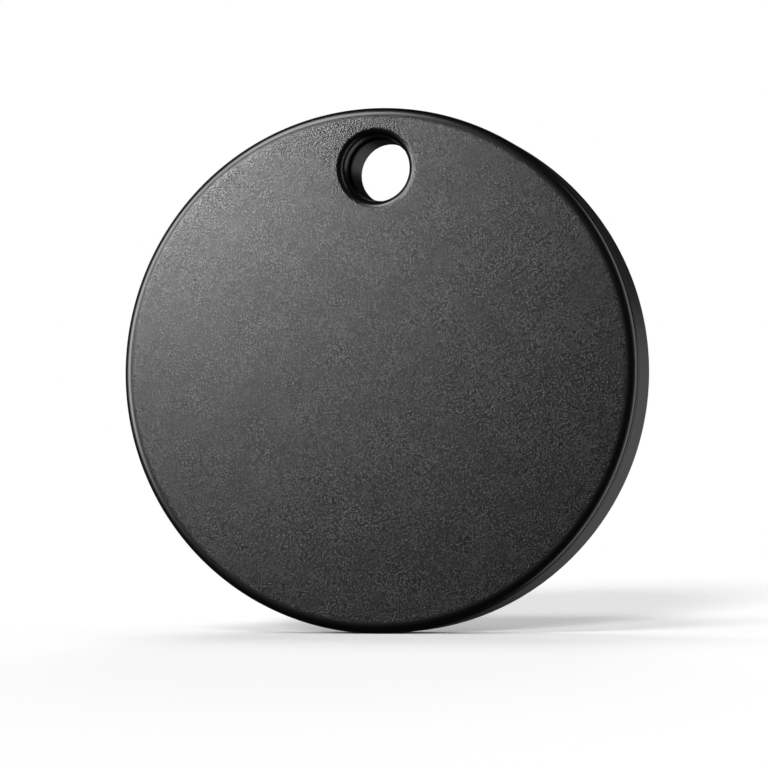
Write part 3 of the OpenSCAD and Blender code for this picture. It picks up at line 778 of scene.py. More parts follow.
class TAG_OT_rear_body(bpy.types.Operator):
    """Rear body: side and back walls, bore sleeve, battery bay with its ledge and ribs, board posts"""

    bl_idname = "tag.rear_body"
    bl_label = "Rear body"

    def execute(self, context):
        case = case_settings()
        inner = CASE_R - case["wall"]
        floor = BACK - case["back_wall"]
        reach, rise = case["back_reach"], case["back_rise"]
        soft = case["soft_edge"]
        outline = [(0.0, floor), (inner, floor), (inner, RIM + 0.15), (inner + 0.15, RIM)]
        outline += arc((CASE_R - soft, RIM + soft), (soft, soft), 270, 360, 4)
        outline += arc((CASE_R - reach, BACK - rise), (reach, rise), 0, 90, 18)
        outline += [(CASE_R - reach - BAND, BACK), (0.0, BACK)]
        body = turned("rear_body_shell", outline, z=MIDDLE, steps=FINE)

        middle_of_wall = BACK - case["back_wall"] / 2
        sleeve_end = FRONT + case["lip_depth"] + case["sleeve_gap"]
        sleeve_r = case["sleeve"]
        sleeve = [(0.0, sleeve_end), (sleeve_r - 0.05, sleeve_end), (sleeve_r, sleeve_end + 0.05)]
        sleeve += [(sleeve_r, middle_of_wall), (0.0, middle_of_wall)]
        add(body, turned("sleeve", sleeve, z=HOLE_Z, steps=HOLE_STEPS))
        bay_foot = BOARD_BACK + 0.3
        bay_middle = BAY_R + 0.37
        bay = ring_outline(BAY_R, BAY_R + 0.74, bay_foot, middle_of_wall)
        add(body, turned("bay", bay, z=DOOR_Z, steps=FINE))
        ledge = ring_outline(LEDGE_IN, bay_middle, LEDGE_TOP, middle_of_wall)
        add(body, turned("ledge", ledge, z=DOOR_Z, steps=FINE))
        rib = ring_outline(NECK_IN, bay_middle, bay_foot, LEDGE_TOP - 0.7)
        for turn in QUARTERS:
            add(body, turned("rib", rib, z=DOOR_Z, steps=12, turn=turn, width=16.0))
        for x, z in POSTS:
            add(body, self.post(x, MIDDLE + z, middle_of_wall))

        cut(body, self.bore_tool(case, sleeve_end))
        groove = seal_groove("sleeve_seal", sleeve_r - 0.3, sleeve_r + 0.5)
        cut(body, turned("groove", groove, z=HOLE_Z, steps=HOLE_STEPS))
        self.cut_bay(body)
        pocket = ring_outline(inner - 0.3, inner + 0.45, SKIRT_END - 0.4, SKIRT_END + 0.25)
        for turn in QUARTERS:
            cut(body, turned("pocket", pocket, z=MIDDLE, steps=12, turn=turn, width=15.0))
        self.cut_marks(body)
        finished(body, "case", "body_plastic", "rear_body")
        return {"FINISHED"}

    def post(self, x, z, root):
        """Board post: shoulder, pin and staked head in one."""
        shoulder, pin, head = 0.9, 0.4, 0.7
        outline = [(0.0, root), (shoulder, root), (shoulder, BOARD_BACK + 0.05), (0.85, BOARD_BACK)]
        outline += [(pin, BOARD_BACK), (pin, BOARD_FRONT - 0.01), (head, BOARD_FRONT - 0.01)]
        outline += arc((0.55, BOARD_FRONT - 0.04), (0.15, 0.15), 0, -90, 4) + [(0.0, BOARD_FRONT - 0.19)]
        return turned("post", outline, x=x, z=z, steps=48)

    def bore_tool(self, case, sleeve_end):
        """Bore with a small chamfer at the sleeve's end and a long flare to the back face."""
        lip = case["lip_radius"]
        flare = case["flare"]
        mouth, mouth_fall = 0.12, 0.6
        mouth_r = BORE_R + mouth
        outline = [(0.0, sleeve_end - PAST), (mouth_r, sleeve_end - PAST), (mouth_r, sleeve_end)]
        outline += arc((mouth_r, sleeve_end + mouth_fall), (mouth, mouth_fall), 268, 180, 10)
        outline += arc((lip, BACK - flare), (lip - BORE_R, flare), 180, 92, 20)
        outline += [(lip + 0.02, BACK), (lip + 0.02, BACK + PAST), (0.0, BACK + PAST)]
        return turned("bore_tool", outline, z=HOLE_Z, steps=HOLE_STEPS)

    def cut_bay(self, body):
        """Opens the battery bay: a recess for the door, and notches that let its lugs pass the ledge."""
        soft = 0.12
        outline = [(0.0, SEAT), (BAY_R, SEAT), *arc((BAY_R + soft, BACK - soft), (soft, soft), 180, 92, 5)]
        outline += [(BAY_R + soft, BACK), (BAY_R + soft, BACK + PAST), (0.0, BACK + PAST)]
        cut(body, turned("recess", outline, z=DOOR_Z, steps=FINE))
        opening = [(0.0, SEAT - 1.8), (LEDGE_IN, SEAT - 1.8), (LEDGE_IN, BACK), (0.0, BACK)]
        cut(body, turned("opening", opening, z=DOOR_Z, steps=FINE))
        notch = ring_outline(LEDGE_IN - 0.2, BAY_R + 0.05, SEAT - 0.55, SEAT + 0.1)
        for turn in DOOR_LUGS:
            cut(body, turned("notch", notch, z=DOOR_Z, steps=16, turn=turn - DOOR_TURN, width=30.0))

    def cut_marks(self, body):
        """Two shallow marks beside the door: a dot where it is locked and a ring where it opens."""
        reach = DOOR_R + 1.15
        dot = [(0.0, BACK - 0.12), (0.24, BACK - 0.12), (0.36, BACK), (0.36, BACK + 0.3), (0.0, BACK + 0.3)]
        cut(body, turned("dot", dot, z=DOOR_Z + reach, steps=48))
        turn = math.radians(90 - DOOR_TURN)
        ring = [(0.26, BACK - 0.1), (0.42, BACK - 0.1), (0.5, BACK)]
        ring += [(0.5, BACK + 0.3), (0.2, BACK + 0.3), (0.2, BACK), ring[0]]
        x, z = reach * math.cos(turn), DOOR_Z + reach * math.sin(turn)
        cut(body, turned("ring", ring, x=x, z=z, steps=48))


class TAG_OT_battery_door(bpy.types.Operator):
    """Battery door: plate, coin slot, mark, seal groove, neck round the cell and bayonet lugs"""

    bl_idname = "tag.battery_door"
    bl_label = "Battery door"

    def execute(self, context):
        case = case_settings()
        inside = BACK - 0.75
        neck_end = inside - 1.1
        groove_in, groove_out, groove_end = NECK_OUT + 0.12, DOOR_R - 0.15, inside + 0.4
        outline = [(0.0, BACK), (DOOR_R - 0.6, BACK)]
        outline += arc((DOOR_R - 0.14, BACK - 0.14), (0.14, 0.14), 90, 0, 5)
        outline += [(DOOR_R, inside), (groove_out, inside), (groove_out, groove_end)]
        outline += [(groove_in, groove_end), (groove_in, inside), (NECK_OUT, inside)]
        outline += [(NECK_OUT, neck_end + 0.08)]
        outline += [(NECK_OUT - 0.08, neck_end), (NECK_IN + 0.1, neck_end), (NECK_IN, neck_end + 0.1)]
        outline += [(NECK_IN, inside), (0.0, inside)]
        door = turned("battery_door_shell", outline, z=DOOR_Z, steps=FINE)
        lug_end = LEDGE_TOP - 0.05
        lug = ring_outline(NECK_OUT - 0.2, DOOR_R - 0.05, lug_end - 0.47, lug_end, 0.06)
        for turn in DOOR_LUGS:
            add(door, turned("lug", lug, z=DOOR_Z, steps=16, turn=turn, width=26.0))
        cut(door, self.slot_tool(case))
        soften(door, 0.07, self.at_slot_mouth(case))
        dot = [(0.0, BACK - 0.15), (0.3, BACK - 0.15), (0.4, BACK - 0.05), (0.43, BACK)]
        dot += [(0.43, BACK + 0.3), (0.0, BACK + 0.3)]
        cut(door, turned("dot", dot, z=DOOR_Z + DOOR_R - 1.4, steps=48))
        finished(door, "door", "door_plastic", "battery_door")
        return {"FINISHED"}

    def slot_tool(self, case):
        """Bar with half-round ends, on the door's axis."""
        reach = (case["slot_length"] - case["slot_width"]) / 2
        half = case["slot_width"] / 2
        outline = [(reach + x, z) for x, z in arc((0.0, 0.0), (half, half), -90, 90, 14)]
        outline += [(x - reach, z) for x, z in arc((0.0, 0.0), (half, half), 90, 270, 14)]
        tool = prism("slot_tool", outline, BACK - case["slot_depth"], BACK + PAST)
        return placed(tool, z=DOOR_Z)

    def at_slot_mouth(self, case):
        """Test for the edges where the slot meets the back face."""
        reach_x = case["slot_length"] / 2 + 0.1
        reach_z = case["slot_width"] / 2 + 0.1

        def at_mouth(spot):
            return spot.y > BACK - 0.01 and abs(spot.x) < reach_x and abs(spot.z - DOOR_Z) < reach_z

        return at_mouth


class TAG_OT_seals(bpy.types.Operator):
    """Three sealing rings of round section, each with its moulding ridge"""

    bl_idname = "tag.seals"
    bl_label = "Sealing rings"

    def execute(self, context):
        ridge = 0.02
        for node, body, slot in (
            ("cover_seal", "cover", "seal_rubber"),
            ("sleeve_seal", "case", "seal_rubber"),
            ("door_seal", "door", "door_seal_rubber"),
        ):
            low, high = corners(node)
            thick = (high.y - low.y) / 2
            centre = ((high.x - low.x) / 2 - thick, (low.y + high.y) / 2)
            outline = arc(centre, (thick, thick), 0, 360, 36)
            outline[18] = (centre[0] - thick - ridge, centre[1])
            ring = turned(node + "_ring", outline, z=(low.z + high.z) / 2, steps=FINE)
            finished(ring, body, slot, node)
        return {"FINISHED"}


class TAG_OT_cell(bpy.types.Operator):
    """Coin cell: stamped can with a crimped rim, cap, insulating ring"""

    bl_idname = "tag.cell"
    bl_label = "Coin cell"

    def stamped(self, radii, face, depth):
        """Shallow ring stamped into a face, as four points of the face's outline."""
        return [(radius, face + fall) for radius, fall in zip(radii, (0.0, depth, depth, 0.0))]

    def execute(self, context):
        skin, corner, stamp = 0.25, 0.35, 0.05
        crimp = corners("battery_can")[0].y
        corner_r, skin_r = CELL_R - corner, CELL_R - skin
        outline = [(0.0, CELL_BACK), *self.stamped((5.6, 5.7, 6.1, 6.2), CELL_BACK, -stamp)]
        outline += arc((corner_r, CELL_BACK - corner), (corner, corner), 90, 0, 6)
        outline += arc((corner_r, crimp + corner), (corner, corner), 0, -90, 8)
        outline += arc((CELL_R - 0.6, crimp + 0.1), (0.1, 0.1), 270, 180, 4)
        outline += [(CELL_R - 0.7, crimp + 0.2), (corner_r, crimp + skin)]
        outline += [(skin_r, crimp + skin + 0.15), (skin_r, CELL_BACK - skin), (0.0, CELL_BACK - skin)]
        finished(turned("cell_can", outline, z=DOOR_Z, steps=FINE), "case", "cell_steel", "battery_can")

        inside, cap_r = corners("battery_cap")[1].y, 9.1
        outline = [(0.0, inside), (cap_r, inside), (cap_r, CELL_FRONT + 0.75), (8.65, CELL_FRONT + 0.6)]
        outline += arc((8.3, CELL_FRONT + corner), (corner, corner), 0, -90, 8)
        outline += [*self.stamped((7.6, 7.5, 7.1, 7.0), CELL_FRONT, stamp), (0.0, CELL_FRONT)]
        finished(turned("cell_cap", outline, z=DOOR_Z, steps=FINE), "case", "cell_steel", "battery_cap")

        # The ring follows the cap's shoulder, and its lip shows between the cap and the crimp
        top = corners("battery_insulator")[0].y
        ring_in, ring_out, lip_in, lip_out, lip_round = 9.15, 9.7, 8.7, 9.25, 0.1
        lip_middle, lip_half = (lip_in + lip_out) / 2, (lip_out - lip_in) / 2
        outline = [(ring_in, inside), (ring_in, CELL_FRONT + 0.72), (lip_in, CELL_FRONT + 0.57)]
        outline += [(lip_in, top + lip_round)]
        outline += arc((lip_middle, top + lip_round), (lip_half, lip_round), 180, 360, 8)
        outline += [(lip_out, CELL_FRONT + 0.5), (ring_out, CELL_FRONT + 0.62), (ring_out, inside)]
        outline += outline[:1]
        ring = turned("cell_insulating_ring", outline, z=DOOR_Z, steps=FINE)
        finished(ring, "case", "cell_insulator", "battery_insulator")
        return {"FINISHED"}


class TAG_OT_contacts(bpy.types.Operator):
    """Battery contacts: bent strip at the cell's side, sprung spider on its cap"""

    bl_idname = "tag.contacts"
    bl_label = "Battery contacts"

    def execute(self, context):
        # The strip rises from its foot, jogs in to touch the cell's side and flares out at its tip
        sheet, half_width, jog, flare = 0.12, 1.5, 0.15, 0.25
        side = -CELL_R - 0.01
        outer, foot = side - sheet, side - 2.4
        top, jog_low, jog_high = BOARD_BACK + sheet, BOARD_BACK + 0.9, BOARD_BACK + 1.2
        flare_low, tip = BOARD_BACK + 2.0, BOARD_BACK + 2.5
        outline = [(foot, BOARD_BACK), (foot, top), (outer - jog, top), (outer - jog, jog_low)]
        outline += [(outer, jog_high), (outer, flare_low), (outer - flare, tip), (side - flare, tip)]
        outline += [(side, flare_low), (side, jog_high), (side - jog, jog_low), (side - jog, BOARD_BACK)]
        strip = prism("positive_strip", outline, DOOR_Z - half_width, DOOR_Z + half_width, "z")
        strip = bevelled(strip, 0.03)
        finished(strip, "case", "contact_metal", "positive_contact")

        # Each finger rises from the hub, runs just under the cap and turns back at its tip
        hub = turned("negative_spider", disc_outline(2.2, BOARD_BACK, top, 0.02), steps=64)
        touch, half_width = CELL_FRONT - 0.01, 0.7
        under = touch - sheet
        outline = [(1.5, BOARD_BACK), (3.0, BOARD_BACK), (5.6, under), (6.2, under)]
        outline += [(6.6, CELL_FRONT - 0.25), (6.6, CELL_FRONT - 0.1), (6.3, touch)]
        outline += [(5.5, touch), (2.9, top), (1.5, top)]
        finger = bevelled(prism("finger", outline, -half_width, half_width, "z"), 0.02)
        for turn in (0.0, 120.0, 240.0):
            hub = add(hub, placed(copied(finger, "finger"), turn=turn))
        bpy.data.objects.remove(finger)
        finished(placed(hub, z=DOOR_Z), "case", "contact_metal", "negative_contact")
        return {"FINISHED"}


class TAG_OT_board(bpy.types.Operator):
    """Circuit board with its notch and post holes"""

    bl_idname = "tag.board"
    bl_label = "Circuit board"

    def execute(self, context):
        low, high = corners("circuit_board")
        reach = (high.x - low.x) / 2
        notch, hole_r = 3.75, 0.45
        board = turned("board", disc_outline(reach, BOARD_FRONT, BOARD_BACK, 0.03), z=MIDDLE, steps=FINE)
        outline = arc((0.0, HOLE_Z), (notch, notch), 180, 360, 48)
        outline += [(notch, HOLE_Z + notch), (-notch, HOLE_Z + notch)]
        board = cut(board, prism("notch", outline, BOARD_FRONT - PAST, BOARD_BACK + PAST))
        for x, z in POSTS:
            hole = disc_outline(hole_r, BOARD_FRONT - PAST, BOARD_BACK + PAST, 0.01)
            board = cut(board, turned("hole", hole, x=x, z=MIDDLE + z, steps=32))
        finished(board, "case", "board_laminate", "circuit_board")
        return {"FINISHED"}


class TAG_OT_chips(bpy.types.Operator):
    """Radio chip on its lands, driver transistor on its legs, and two crystals in their cans"""

    bl_idname = "tag.chips"
    bl_label = "Chips and crystals"

    def execute(self, context):
        centre = middle_of("radio_chip")
        spot = (centre.x, BOARD_BACK, centre.z)
        width, lift, top = 4.0, 0.04, 0.74
        half = width / 2
        chip = block("radio_chip_body", width, width, lift, top, 0.06)
        dimple_r, dimple_floor, dimple_at = 0.22, 0.68, 1.5
        dimple = disc_outline(dimple_r, dimple_floor, dimple_floor + PAST, 0.02)
        chip = cut(chip, turned("dimple", dimple, x=-dimple_at, z=dimple_at, steps=32))
        finished(placed(chip, *spot), "case", "chip_mould", "radio_chip")
        land_in, land_out, land_top, land_half, pitch = 1.7, 2.03, 0.2, 0.12, 0.5
        outline = [(land_in, 0.0), (land_out, 0.0), (land_out, land_top), (half, land_top)]
        outline += [(half, lift), (land_in, lift)]
        row = [(0.0, 0.0, pitch * step) for step in range(-3, 4)]
        lands = repeated(prism("land", outline, -land_half, land_half, "z"), "row", row)
        lands = repeated(lands, "radio_chip_lands", [(*spot, turn) for turn in (0.0, 90.0, 180.0, 270.0)])
        finished(lands, "case", "tinned_metal", "radio_chip")

        spot = (14.3, BOARD_BACK, MIDDLE - 0.2)
        leg_gap = 0.95
        body = placed(block("transistor_body", 2.9, 1.3, 0.08, 0.98, 0.08), *spot, 90.0)
        finished(body, "case", "chip_mould", "driver_transistor")
        outline = [(0.6, 0.1), (0.78, 0.0), (1.1, 0.0), (1.1, 0.08), (0.83, 0.08), (0.7, 0.18), (0.6, 0.18)]
        leg = bevelled(prism("leg", outline, -0.2, 0.2, "z"), 0.015)
        legs = [placed(copied(leg, "leg"), spot[0], BOARD_BACK, spot[2] + way * leg_gap) for way in (-1, 1)]
        legs = joined("transistor_legs", [*legs, placed(leg, *spot, 180.0)])
        finished(legs, "case", "tinned_metal", "driver_transistor")

        for node, width, height, base, top, turn in (
            ("main_crystal", 2.5, 2.0, 0.3, 0.6, 60.0),
            ("clock_crystal", 3.2, 1.5, 0.35, 0.75, 0.0),
        ):
            centre = middle_of(node)
            can = plate(node + "_can", width, height, 0.0, base, 0.15, 0.03)
            can = add(can, plate("lid", width - 0.3, height - 0.3, base - 0.1, top, 0.2, 0.08))
            finished(placed(can, centre.x, BOARD_BACK, centre.z, turn), "case", "crystal_can", node)
        return {"FINISHED"}


class TAG_OT_passives(bpy.types.Operator):
    """Chip capacitors, resistors and antenna with their end caps and solder, and the drum coil"""

    bl_idname = "tag.passives"
    bl_label = "Capacitors, resistors, antenna, coil"

    def chip(self, length, width, height, side):
        """Body, end caps and solder of one chip part that stands on depth 0, towards one side."""
        cap = length * 0.22
        cap_soft = min(0.05, height / 8)
        lift = 0.02
        body = block("body", length - 2 * cap, width - 2 * lift, side * lift, side * (height - lift), 0.02)
        ends, solder = [], []
        for way in (-1, 1):
            x = way * (length - cap) / 2
            ends.append(block("end", cap, width, 0.0, side * height, cap_soft, x))
            foot = way * length / 2
            # The fillet climbs half of the end cap: reach in millimetres, share of the height
            fillet = ((0.0, 0.0), (0.22, 0.0), (0.1, 0.12), (0.03, 0.3), (0.0, 0.5))
            outline = [(foot + way * reach, side * height * climb) for reach, climb in fillet]
            solder.append(prism("solder", outline, -width * 0.45, width * 0.45, "z"))
        return body, joined("ends", ends), joined("solder", solder)

    def row(self, name, slot, side, base, places):
        """All the chip parts of a node: each x, z, turn, length, width, height. Returns their solder."""
        masters = {}
        groups = [], [], []
        for x, z, turn, *size in places:
            size = tuple(size)
            if size not in masters:
                masters[size] = self.chip(*size, side)
            for group, master in zip(groups, masters[size]):
                group.append(placed(copied(master, name), x, base, z, turn))
        for parts in masters.values():
            for part in parts:
                bpy.data.objects.remove(part)
        finished(joined(name + "_bodies", groups[0]), "case", slot, name)
        finished(joined(name + "_end_caps", groups[1]), "case", "tinned_metal", name)
        return groups[2]

    def execute(self, context):
        around, reach = [], 14.7
        for turn, *size in (
            (183, 1.6, 0.8, 0.8), (191, 1.6, 0.8, 0.8), (199, 1.0, 0.5, 0.5), (205, 1.0, 0.5, 0.5),
            (-14, 2.0, 1.25, 1.25), (-22, 1.6, 0.8, 0.8), (-30, 1.0, 0.5, 0.5),
            (28, 1.0, 0.5, 0.5), (34, 1.0, 0.5, 0.5),
        ):
            bearing = math.radians(turn)
            x, z = reach * math.cos(bearing), MIDDLE + reach * math.sin(bearing)
            around.append((x, z, turn + 90.0, *size))
        solder = self.row("capacitors", "capacitor_ceramic", 1, BOARD_BACK, around)
        beside = [
            (way * (4.0 + 1.2 * step), MIDDLE + 8.6 - 0.2 * step, 90.0, 1.0, 0.5, 0.34)
            for way in (-1, 1) for step in range(4)
        ]
        solder += self.row("resistors", "resistor_film", -1, BOARD_FRONT, beside)
        centre = middle_of("antenna")
        place = (centre.x, centre.z, -47.0, 3.2, 1.6, 1.1)
        solder += self.row("antenna", "antenna_ceramic", 1, BOARD_BACK, [place])
        finished(joined("board_solder", solder), "case", "tinned_metal")

        centre = middle_of("boost_coil")
        spot = (centre.x, BOARD_BACK, centre.z)
        drum_r = 0.65
        low, high = [disc_outline(1.5, start, start + 0.3, 0.05) for start in (0.1, 1.1)]
        outline = [*low[:-1], (drum_r, 0.4), (drum_r, 1.1), *high[1:]]
        core = placed(turned("coil_core", outline, steps=64), *spot)
        finished(core, "case", "coil_ferrite", "boost_coil")
        # Six layers of wire fill the drum
        wire, wire_in, wire_low, wire_high = 0.055, 0.68, 0.42, 1.08
        outline = [(wire_in, wire_low)]
        for loop in range(6):
            outline += arc((1.09, wire_low + wire + 2 * wire * loop), (0.06, wire), -90, 90, 6)
        outline += [(wire_in, wire_high), (wire_in, wire_low)]
        winding = placed(turned("coil_winding", outline, steps=64), *spot)
        finished(winding, "case", "contact_metal", "boost_coil")
        feet = [block("foot", 0.7, 1.2, 0.0, 0.09, 0.02, x=way * 1.05) for way in (-1, 1)]
        finished(placed(joined("coil_feet", feet), *spot), "case", "tinned_metal", "boost_coil")
        return {"FINISHED"}


class TAG_OT_sounder(bpy.types.Operator):
    """Sounder under the cover: brass plate, ceramic disc, adhesive ring, two leaf springs on the board"""

    bl_idname = "tag.sounder"
    bl_label = "Sounder"

    def execute(self, context):
        for node, slot, soft in (
            ("piezo_plate", "sounder_brass", 0.02),
            ("piezo_ceramic", "sounder_ceramic", 0.015),
        ):
            low, high = corners(node)
            outline = disc_outline((high.x - low.x) / 2, low.y, high.y, soft)
            disc = turned(node + "_disc", outline, z=(low.z + high.z) / 2, steps=FINE)
            finished(disc, "cover", slot, node)
        low, high = corners("piezo_adhesive")
        reach = (high.x - low.x) / 2
        outline = ring_outline(reach - 1.0, reach, low.y, high.y, 0.01)
        ring = turned("piezo_adhesive_ring", outline, z=(low.z + high.z) / 2, steps=FINE)
        finished(ring, "cover", "adhesive", "piezo_adhesive")

        leaf = 0.08
        for name, x, under in (
            ("plate_spring", -7.6, "piezo_plate"),
            ("ceramic_spring", 3.4, "piezo_ceramic"),
        ):
            rise = BOARD_FRONT - corners(under)[1].y - 0.01
            outline = [(-1.4, 0.0), (-0.5, 0.0), (0.5, leaf - rise), (0.9, leaf - rise)]
            outline += [(0.9, -rise), (0.42, -rise), (-0.58, -leaf), (-1.4, -leaf)]
            spring = bevelled(prism(name, outline, -0.3, 0.3, "z"), 0.015)
            spring = placed(spring, x, BOARD_FRONT, middle_of("piezo_plate").z, 90.0)
            finished(spring, "case", "contact_metal", "piezo_contacts")
            (rise - STROKE) / rise
            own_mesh(spring)
        return {"FINISHED"}


class TAG_OT_switch(bpy.types.Operator):
    """Push switch: housing, terminals, snap dome, plunger"""

    bl_idname = "tag.switch"
    bl_label = "Push switch"

    def execute(self, context):
        low, high = corners("switch_housing")
        centre = (low + high) / 2
        floor = BOARD_FRONT - 0.08
        housing = plate("switch_case", high.x - low.x, high.z - low.z, low.y, high.y, 0.2, 0.04)
        roof, mouth = low.y + 0.07, 0.63
        outline = [(0.0, floor), (1.0, floor), (1.0, roof), (mouth, roof)]
        outline += [(mouth, low.y - PAST), (0.0, low.y - PAST)]
        housing = cut(housing, turned("chamber", outline, steps=64))
        finished(placed(housing, centre.x, 0.0, centre.z), "case", "switch_mould", "switch_housing")

        master = block("terminal", 0.4, 0.5, BOARD_FRONT - 0.12, BOARD_FRONT, 0.03)
        reach, rise = 1.81, 0.75
        places = [(centre.x + x, 0.0, centre.z + z) for x in (-reach, reach) for z in (-rise, rise)]
        terminals = repeated(master, "switch_terminal_set", places)
        finished(terminals, "case", "tinned_metal", "switch_terminals")

        low, high = corners("switch_dome")
        reach, rise, sheet = (high.x - low.x) / 2, high.y - low.y, 0.04
        # The dome falls with this power of the distance from its middle
        fall = 2.4
        steps = [step / 12 for step in range(13)]
        outline = [(reach * step, high.y - rise * (1.0 - step ** fall)) for step in steps]
        inner = [((reach - 0.05) * step, high.y - (rise - sheet) * (1.0 - step ** fall)) for step in steps]
        dome = turned("switch_snap_dome", outline + inner[::-1], centre.x, centre.z, 64)
        finished(dome, "case", "dome_steel", "switch_dome")
        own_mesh(dome)

        low, high = corners("switch_plunger")
        flange = (high.x - low.x) / 2
        outline = [(0.0, high.y), (flange, high.y), (flange, high.y - 0.01), (0.58, high.y - 0.01)]
        outline += [*arc((0.53, low.y + 0.05), (0.05, 0.05), 0, -90, 4), (0.0, low.y)]
        plunger = turned("switch_plunger_pin", outline, centre.x, centre.z, 64)
        finished(plunger, "plunger", "plunger_plastic", "switch_plunger")
        return {"FINISHED"}


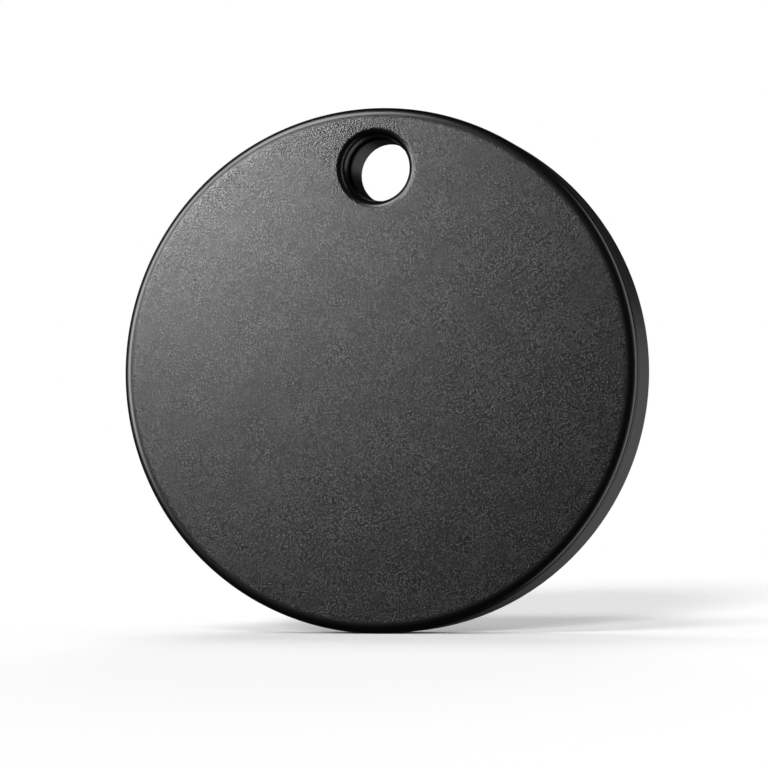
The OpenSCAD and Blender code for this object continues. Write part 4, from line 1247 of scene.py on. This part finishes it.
class TAG_OT_stage(bpy.types.Operator):
    """Floor, camera, lights and surroundings"""

    bl_idname = "tag.stage"
    bl_label = "Stage"

    def execute(self, context):
        studio = context.scene.tag_studio
        context.scene.view_settings.view_transform = "Standard"
        self.lay_floor(studio)
        self.set_camera(context, studio)
        self.light_tag(context)
        self.light_floor(context)
        self.surround(context)
        return {"FINISHED"}

    def lay_floor(self, studio):
        """Pale floor that turns white far from the tag."""
        bpy.ops.mesh.primitive_grid_add(
            x_subdivisions=8, y_subdivisions=8, size=6.0, location=(0.0, 0.0, 0.0)
        )
        floor = bpy.context.active_object
        floor.name = "floor"
        recipe = Recipe("studio floor")
        away = (recipe.x ** 2.0 + recipe.y ** 2.0) ** 0.5
        diffuse = recipe.node("ShaderNodeBsdfDiffuse", 0, {}, {"Color": rgba(studio.floor)})
        white = recipe.node("ShaderNodeEmission", 0, {}, {"Color": (1.0, 1.0, 1.0, 1.0), "Strength": 1.0})
        far = recipe.fade(away, 380.0, 800.0)
        surface = recipe.node("ShaderNodeMixShader", 0, {}, {0: far, 1: diffuse, 2: white})
        floor.data.materials.append(recipe.end(surface))
        floor.visible_diffuse = False
        floor.visible_glossy = False
        floor.visible_shadow = False

    def set_camera(self, context, studio):
        """Camera low in front, a little to the right."""
        data = bpy.data.cameras.new("camera")
        data.lens = studio.camera_lens
        data.clip_start = 0.01
        camera = bpy.data.objects.new("camera", data)
        context.scene.collection.objects.link(camera)
        back = self.towards(studio.camera_azimuth, studio.camera_elevation)
        aim = Vector((-studio.aim_side, 0.0, MIDDLE * MM - studio.aim_drop))
        facing = (-back).to_track_quat("-Z", "Y").to_matrix().to_4x4()
        roll = Matrix.Rotation(studio.camera_roll, 4, "Z")
        camera.matrix_world = Matrix.Translation(aim + back * studio.camera_distance) @ facing @ roll
        context.scene.camera = camera

    def towards(self, turn, rise):
        """Direction from the tag's middle at a bearing from the front and an angle above the level."""
        return Vector((math.sin(turn) * math.cos(rise), -math.cos(turn) * math.cos(rise), math.sin(rise)))

    def group(self, name, objects):
        """A collection that only serves to say what a light falls on."""
        group = bpy.data.collections.new(name)
        for part in objects:
            group.objects.link(part)
        return group

    def light_tag(self, context):
        """Softboxes that light the tag alone."""
        floor = bpy.data.objects["floor"]
        shown = [part for part in context.scene.objects if part.type == "MESH" and part != floor]
        tag = self.group("lit by the softboxes", shown)
        for name, azimuth, elevation, distance, width, height, brightness in (
            ("key", -23.5, 13.0, 0.29, 0.05, 0.05, 29.5),
            ("side", -57.0, 12.0, 0.42, 0.18, 0.34, 11.5),
            ("top", -38.0, 46.0, 0.42, 0.26, 0.17, 12.0),
            ("rim", 91.0, -6.0, 0.4, 0.2, 1.1, 2.8),
            ("bounce", 150.0, -13.0, 0.4, 0.4, 0.3, 0.34),
        ):
            data = bpy.data.lights.new(name, "AREA")
            data.shape = "RECTANGLE"
            data.size = width
            data.size_y = height
            data.energy = brightness * width * height * math.pi
            light = self.aimed(context, name, data, azimuth, elevation, distance)
            light.light_linking.receiver_collection = tag
            light.light_linking.blocker_collection = tag

    def light_floor(self, context):
        """Suns that light the floor alone. The low ones draw the long soft shadows before and behind."""
        lit = self.group("lit by the suns", [bpy.data.objects["floor"]])
        for name, azimuth, elevation, softness, strength in (
            ("overhead", 0.0, 89.0, 150.0, 1.07),
            ("low front", 4.0, 8.0, 8.0, 6.5),
            ("front", -4.0, 34.0, 16.0, 1.5),
            ("low back", 190.0, 15.0, 14.0, 1.0),
            ("back", 205.0, 50.0, 30.0, 0.75),
        ):
            data = bpy.data.lights.new(name, "SUN")
            data.angle = math.radians(softness)
            data.energy = strength
            light = self.aimed(context, name, data, azimuth, elevation, 0.5)
            light.light_linking.receiver_collection = lit

    def aimed(self, context, name, data, azimuth, elevation, distance):
        """Puts a light at a bearing and a distance from the tag's middle, facing it."""
        back = self.towards(math.radians(azimuth), math.radians(elevation))
        light = bpy.data.objects.new(name, data)
        light.visible_camera = False
        context.scene.collection.objects.link(light)
        facing = back.to_track_quat("Z", "Y").to_matrix().to_4x4()
        light.matrix_world = Matrix.Translation(Vector((0.0, 0.0, MIDDLE * MM)) + back * distance) @ facing
        return light

    def surround(self, context):
        """White to the camera, dim grey to everything else."""
        world = bpy.data.worlds.new("studio")
        context.scene.world = world
        world.use_nodes = True
        tree = world.node_tree
        tree.nodes.clear()
        seen = tree.nodes.new("ShaderNodeLightPath")
        dim = tree.nodes.new("ShaderNodeBackground")
        dim.inputs["Color"].default_value = (0.02, 0.02, 0.02, 1.0)
        white = tree.nodes.new("ShaderNodeBackground")
        white.inputs["Color"].default_value = (1.0, 1.0, 1.0, 1.0)
        mix = tree.nodes.new("ShaderNodeMixShader")
        output = tree.nodes.new("ShaderNodeOutputWorld")
        tree.links.new(seen.outputs["Is Camera Ray"], mix.inputs[0])
        tree.links.new(dim.outputs[0], mix.inputs[1])
        tree.links.new(white.outputs[0], mix.inputs[2])
        tree.links.new(mix.outputs[0], output.inputs["Surface"])


BUILDERS = (
    TAG_OT_front_cover,
    TAG_OT_rear_body,
    TAG_OT_battery_door,
    TAG_OT_seals,
    TAG_OT_cell,
    TAG_OT_contacts,
    TAG_OT_board,
    TAG_OT_chips,
    TAG_OT_passives,
    TAG_OT_sounder,
    TAG_OT_switch,
    TAG_OT_stage,
)


class TAG_PT_panel(bpy.types.Panel):
    """Tracker tag's settings and building steps"""

    bl_idname = "TAG_PT_panel"
    bl_label = "Tracker Tag"
    bl_space_type = "VIEW_3D"
    bl_region_type = "UI"
    bl_category = "Tracker Tag"

    def draw(self, context):
        for group in (context.scene.tag_case, context.scene.tag_finish, context.scene.tag_studio):
            box = self.layout.box()
            for name in group.__annotations__:
                box.prop(group, name)
        for builder in BUILDERS:
            self.layout.operator(builder.bl_idname)


CLASSES = (TagCaseSettings, TagFinishSettings, TagStudioSettings, *BUILDERS, TAG_PT_panel)


def register():
    """Registers the classes and hangs the settings on the scene."""
    for kind in CLASSES:
        bpy.utils.register_class(kind)
    bpy.types.Scene.tag_case = bpy.props.PointerProperty(type=TagCaseSettings)
    bpy.types.Scene.tag_finish = bpy.props.PointerProperty(type=TagFinishSettings)
    bpy.types.Scene.tag_studio = bpy.props.PointerProperty(type=TagStudioSettings)


def unregister():
    """Takes the settings and the classes away again."""
    del bpy.types.Scene.tag_studio
    del bpy.types.Scene.tag_finish
    del bpy.types.Scene.tag_case
    for kind in reversed(CLASSES):
        bpy.utils.unregister_class(kind)


def main():
    """Builds the whole tag."""
    register()
    for builder in BUILDERS:
        family, step = builder.bl_idname.split(".")
        getattr(getattr(bpy.ops, family), step)()


if __name__ == "__main__":
    main()
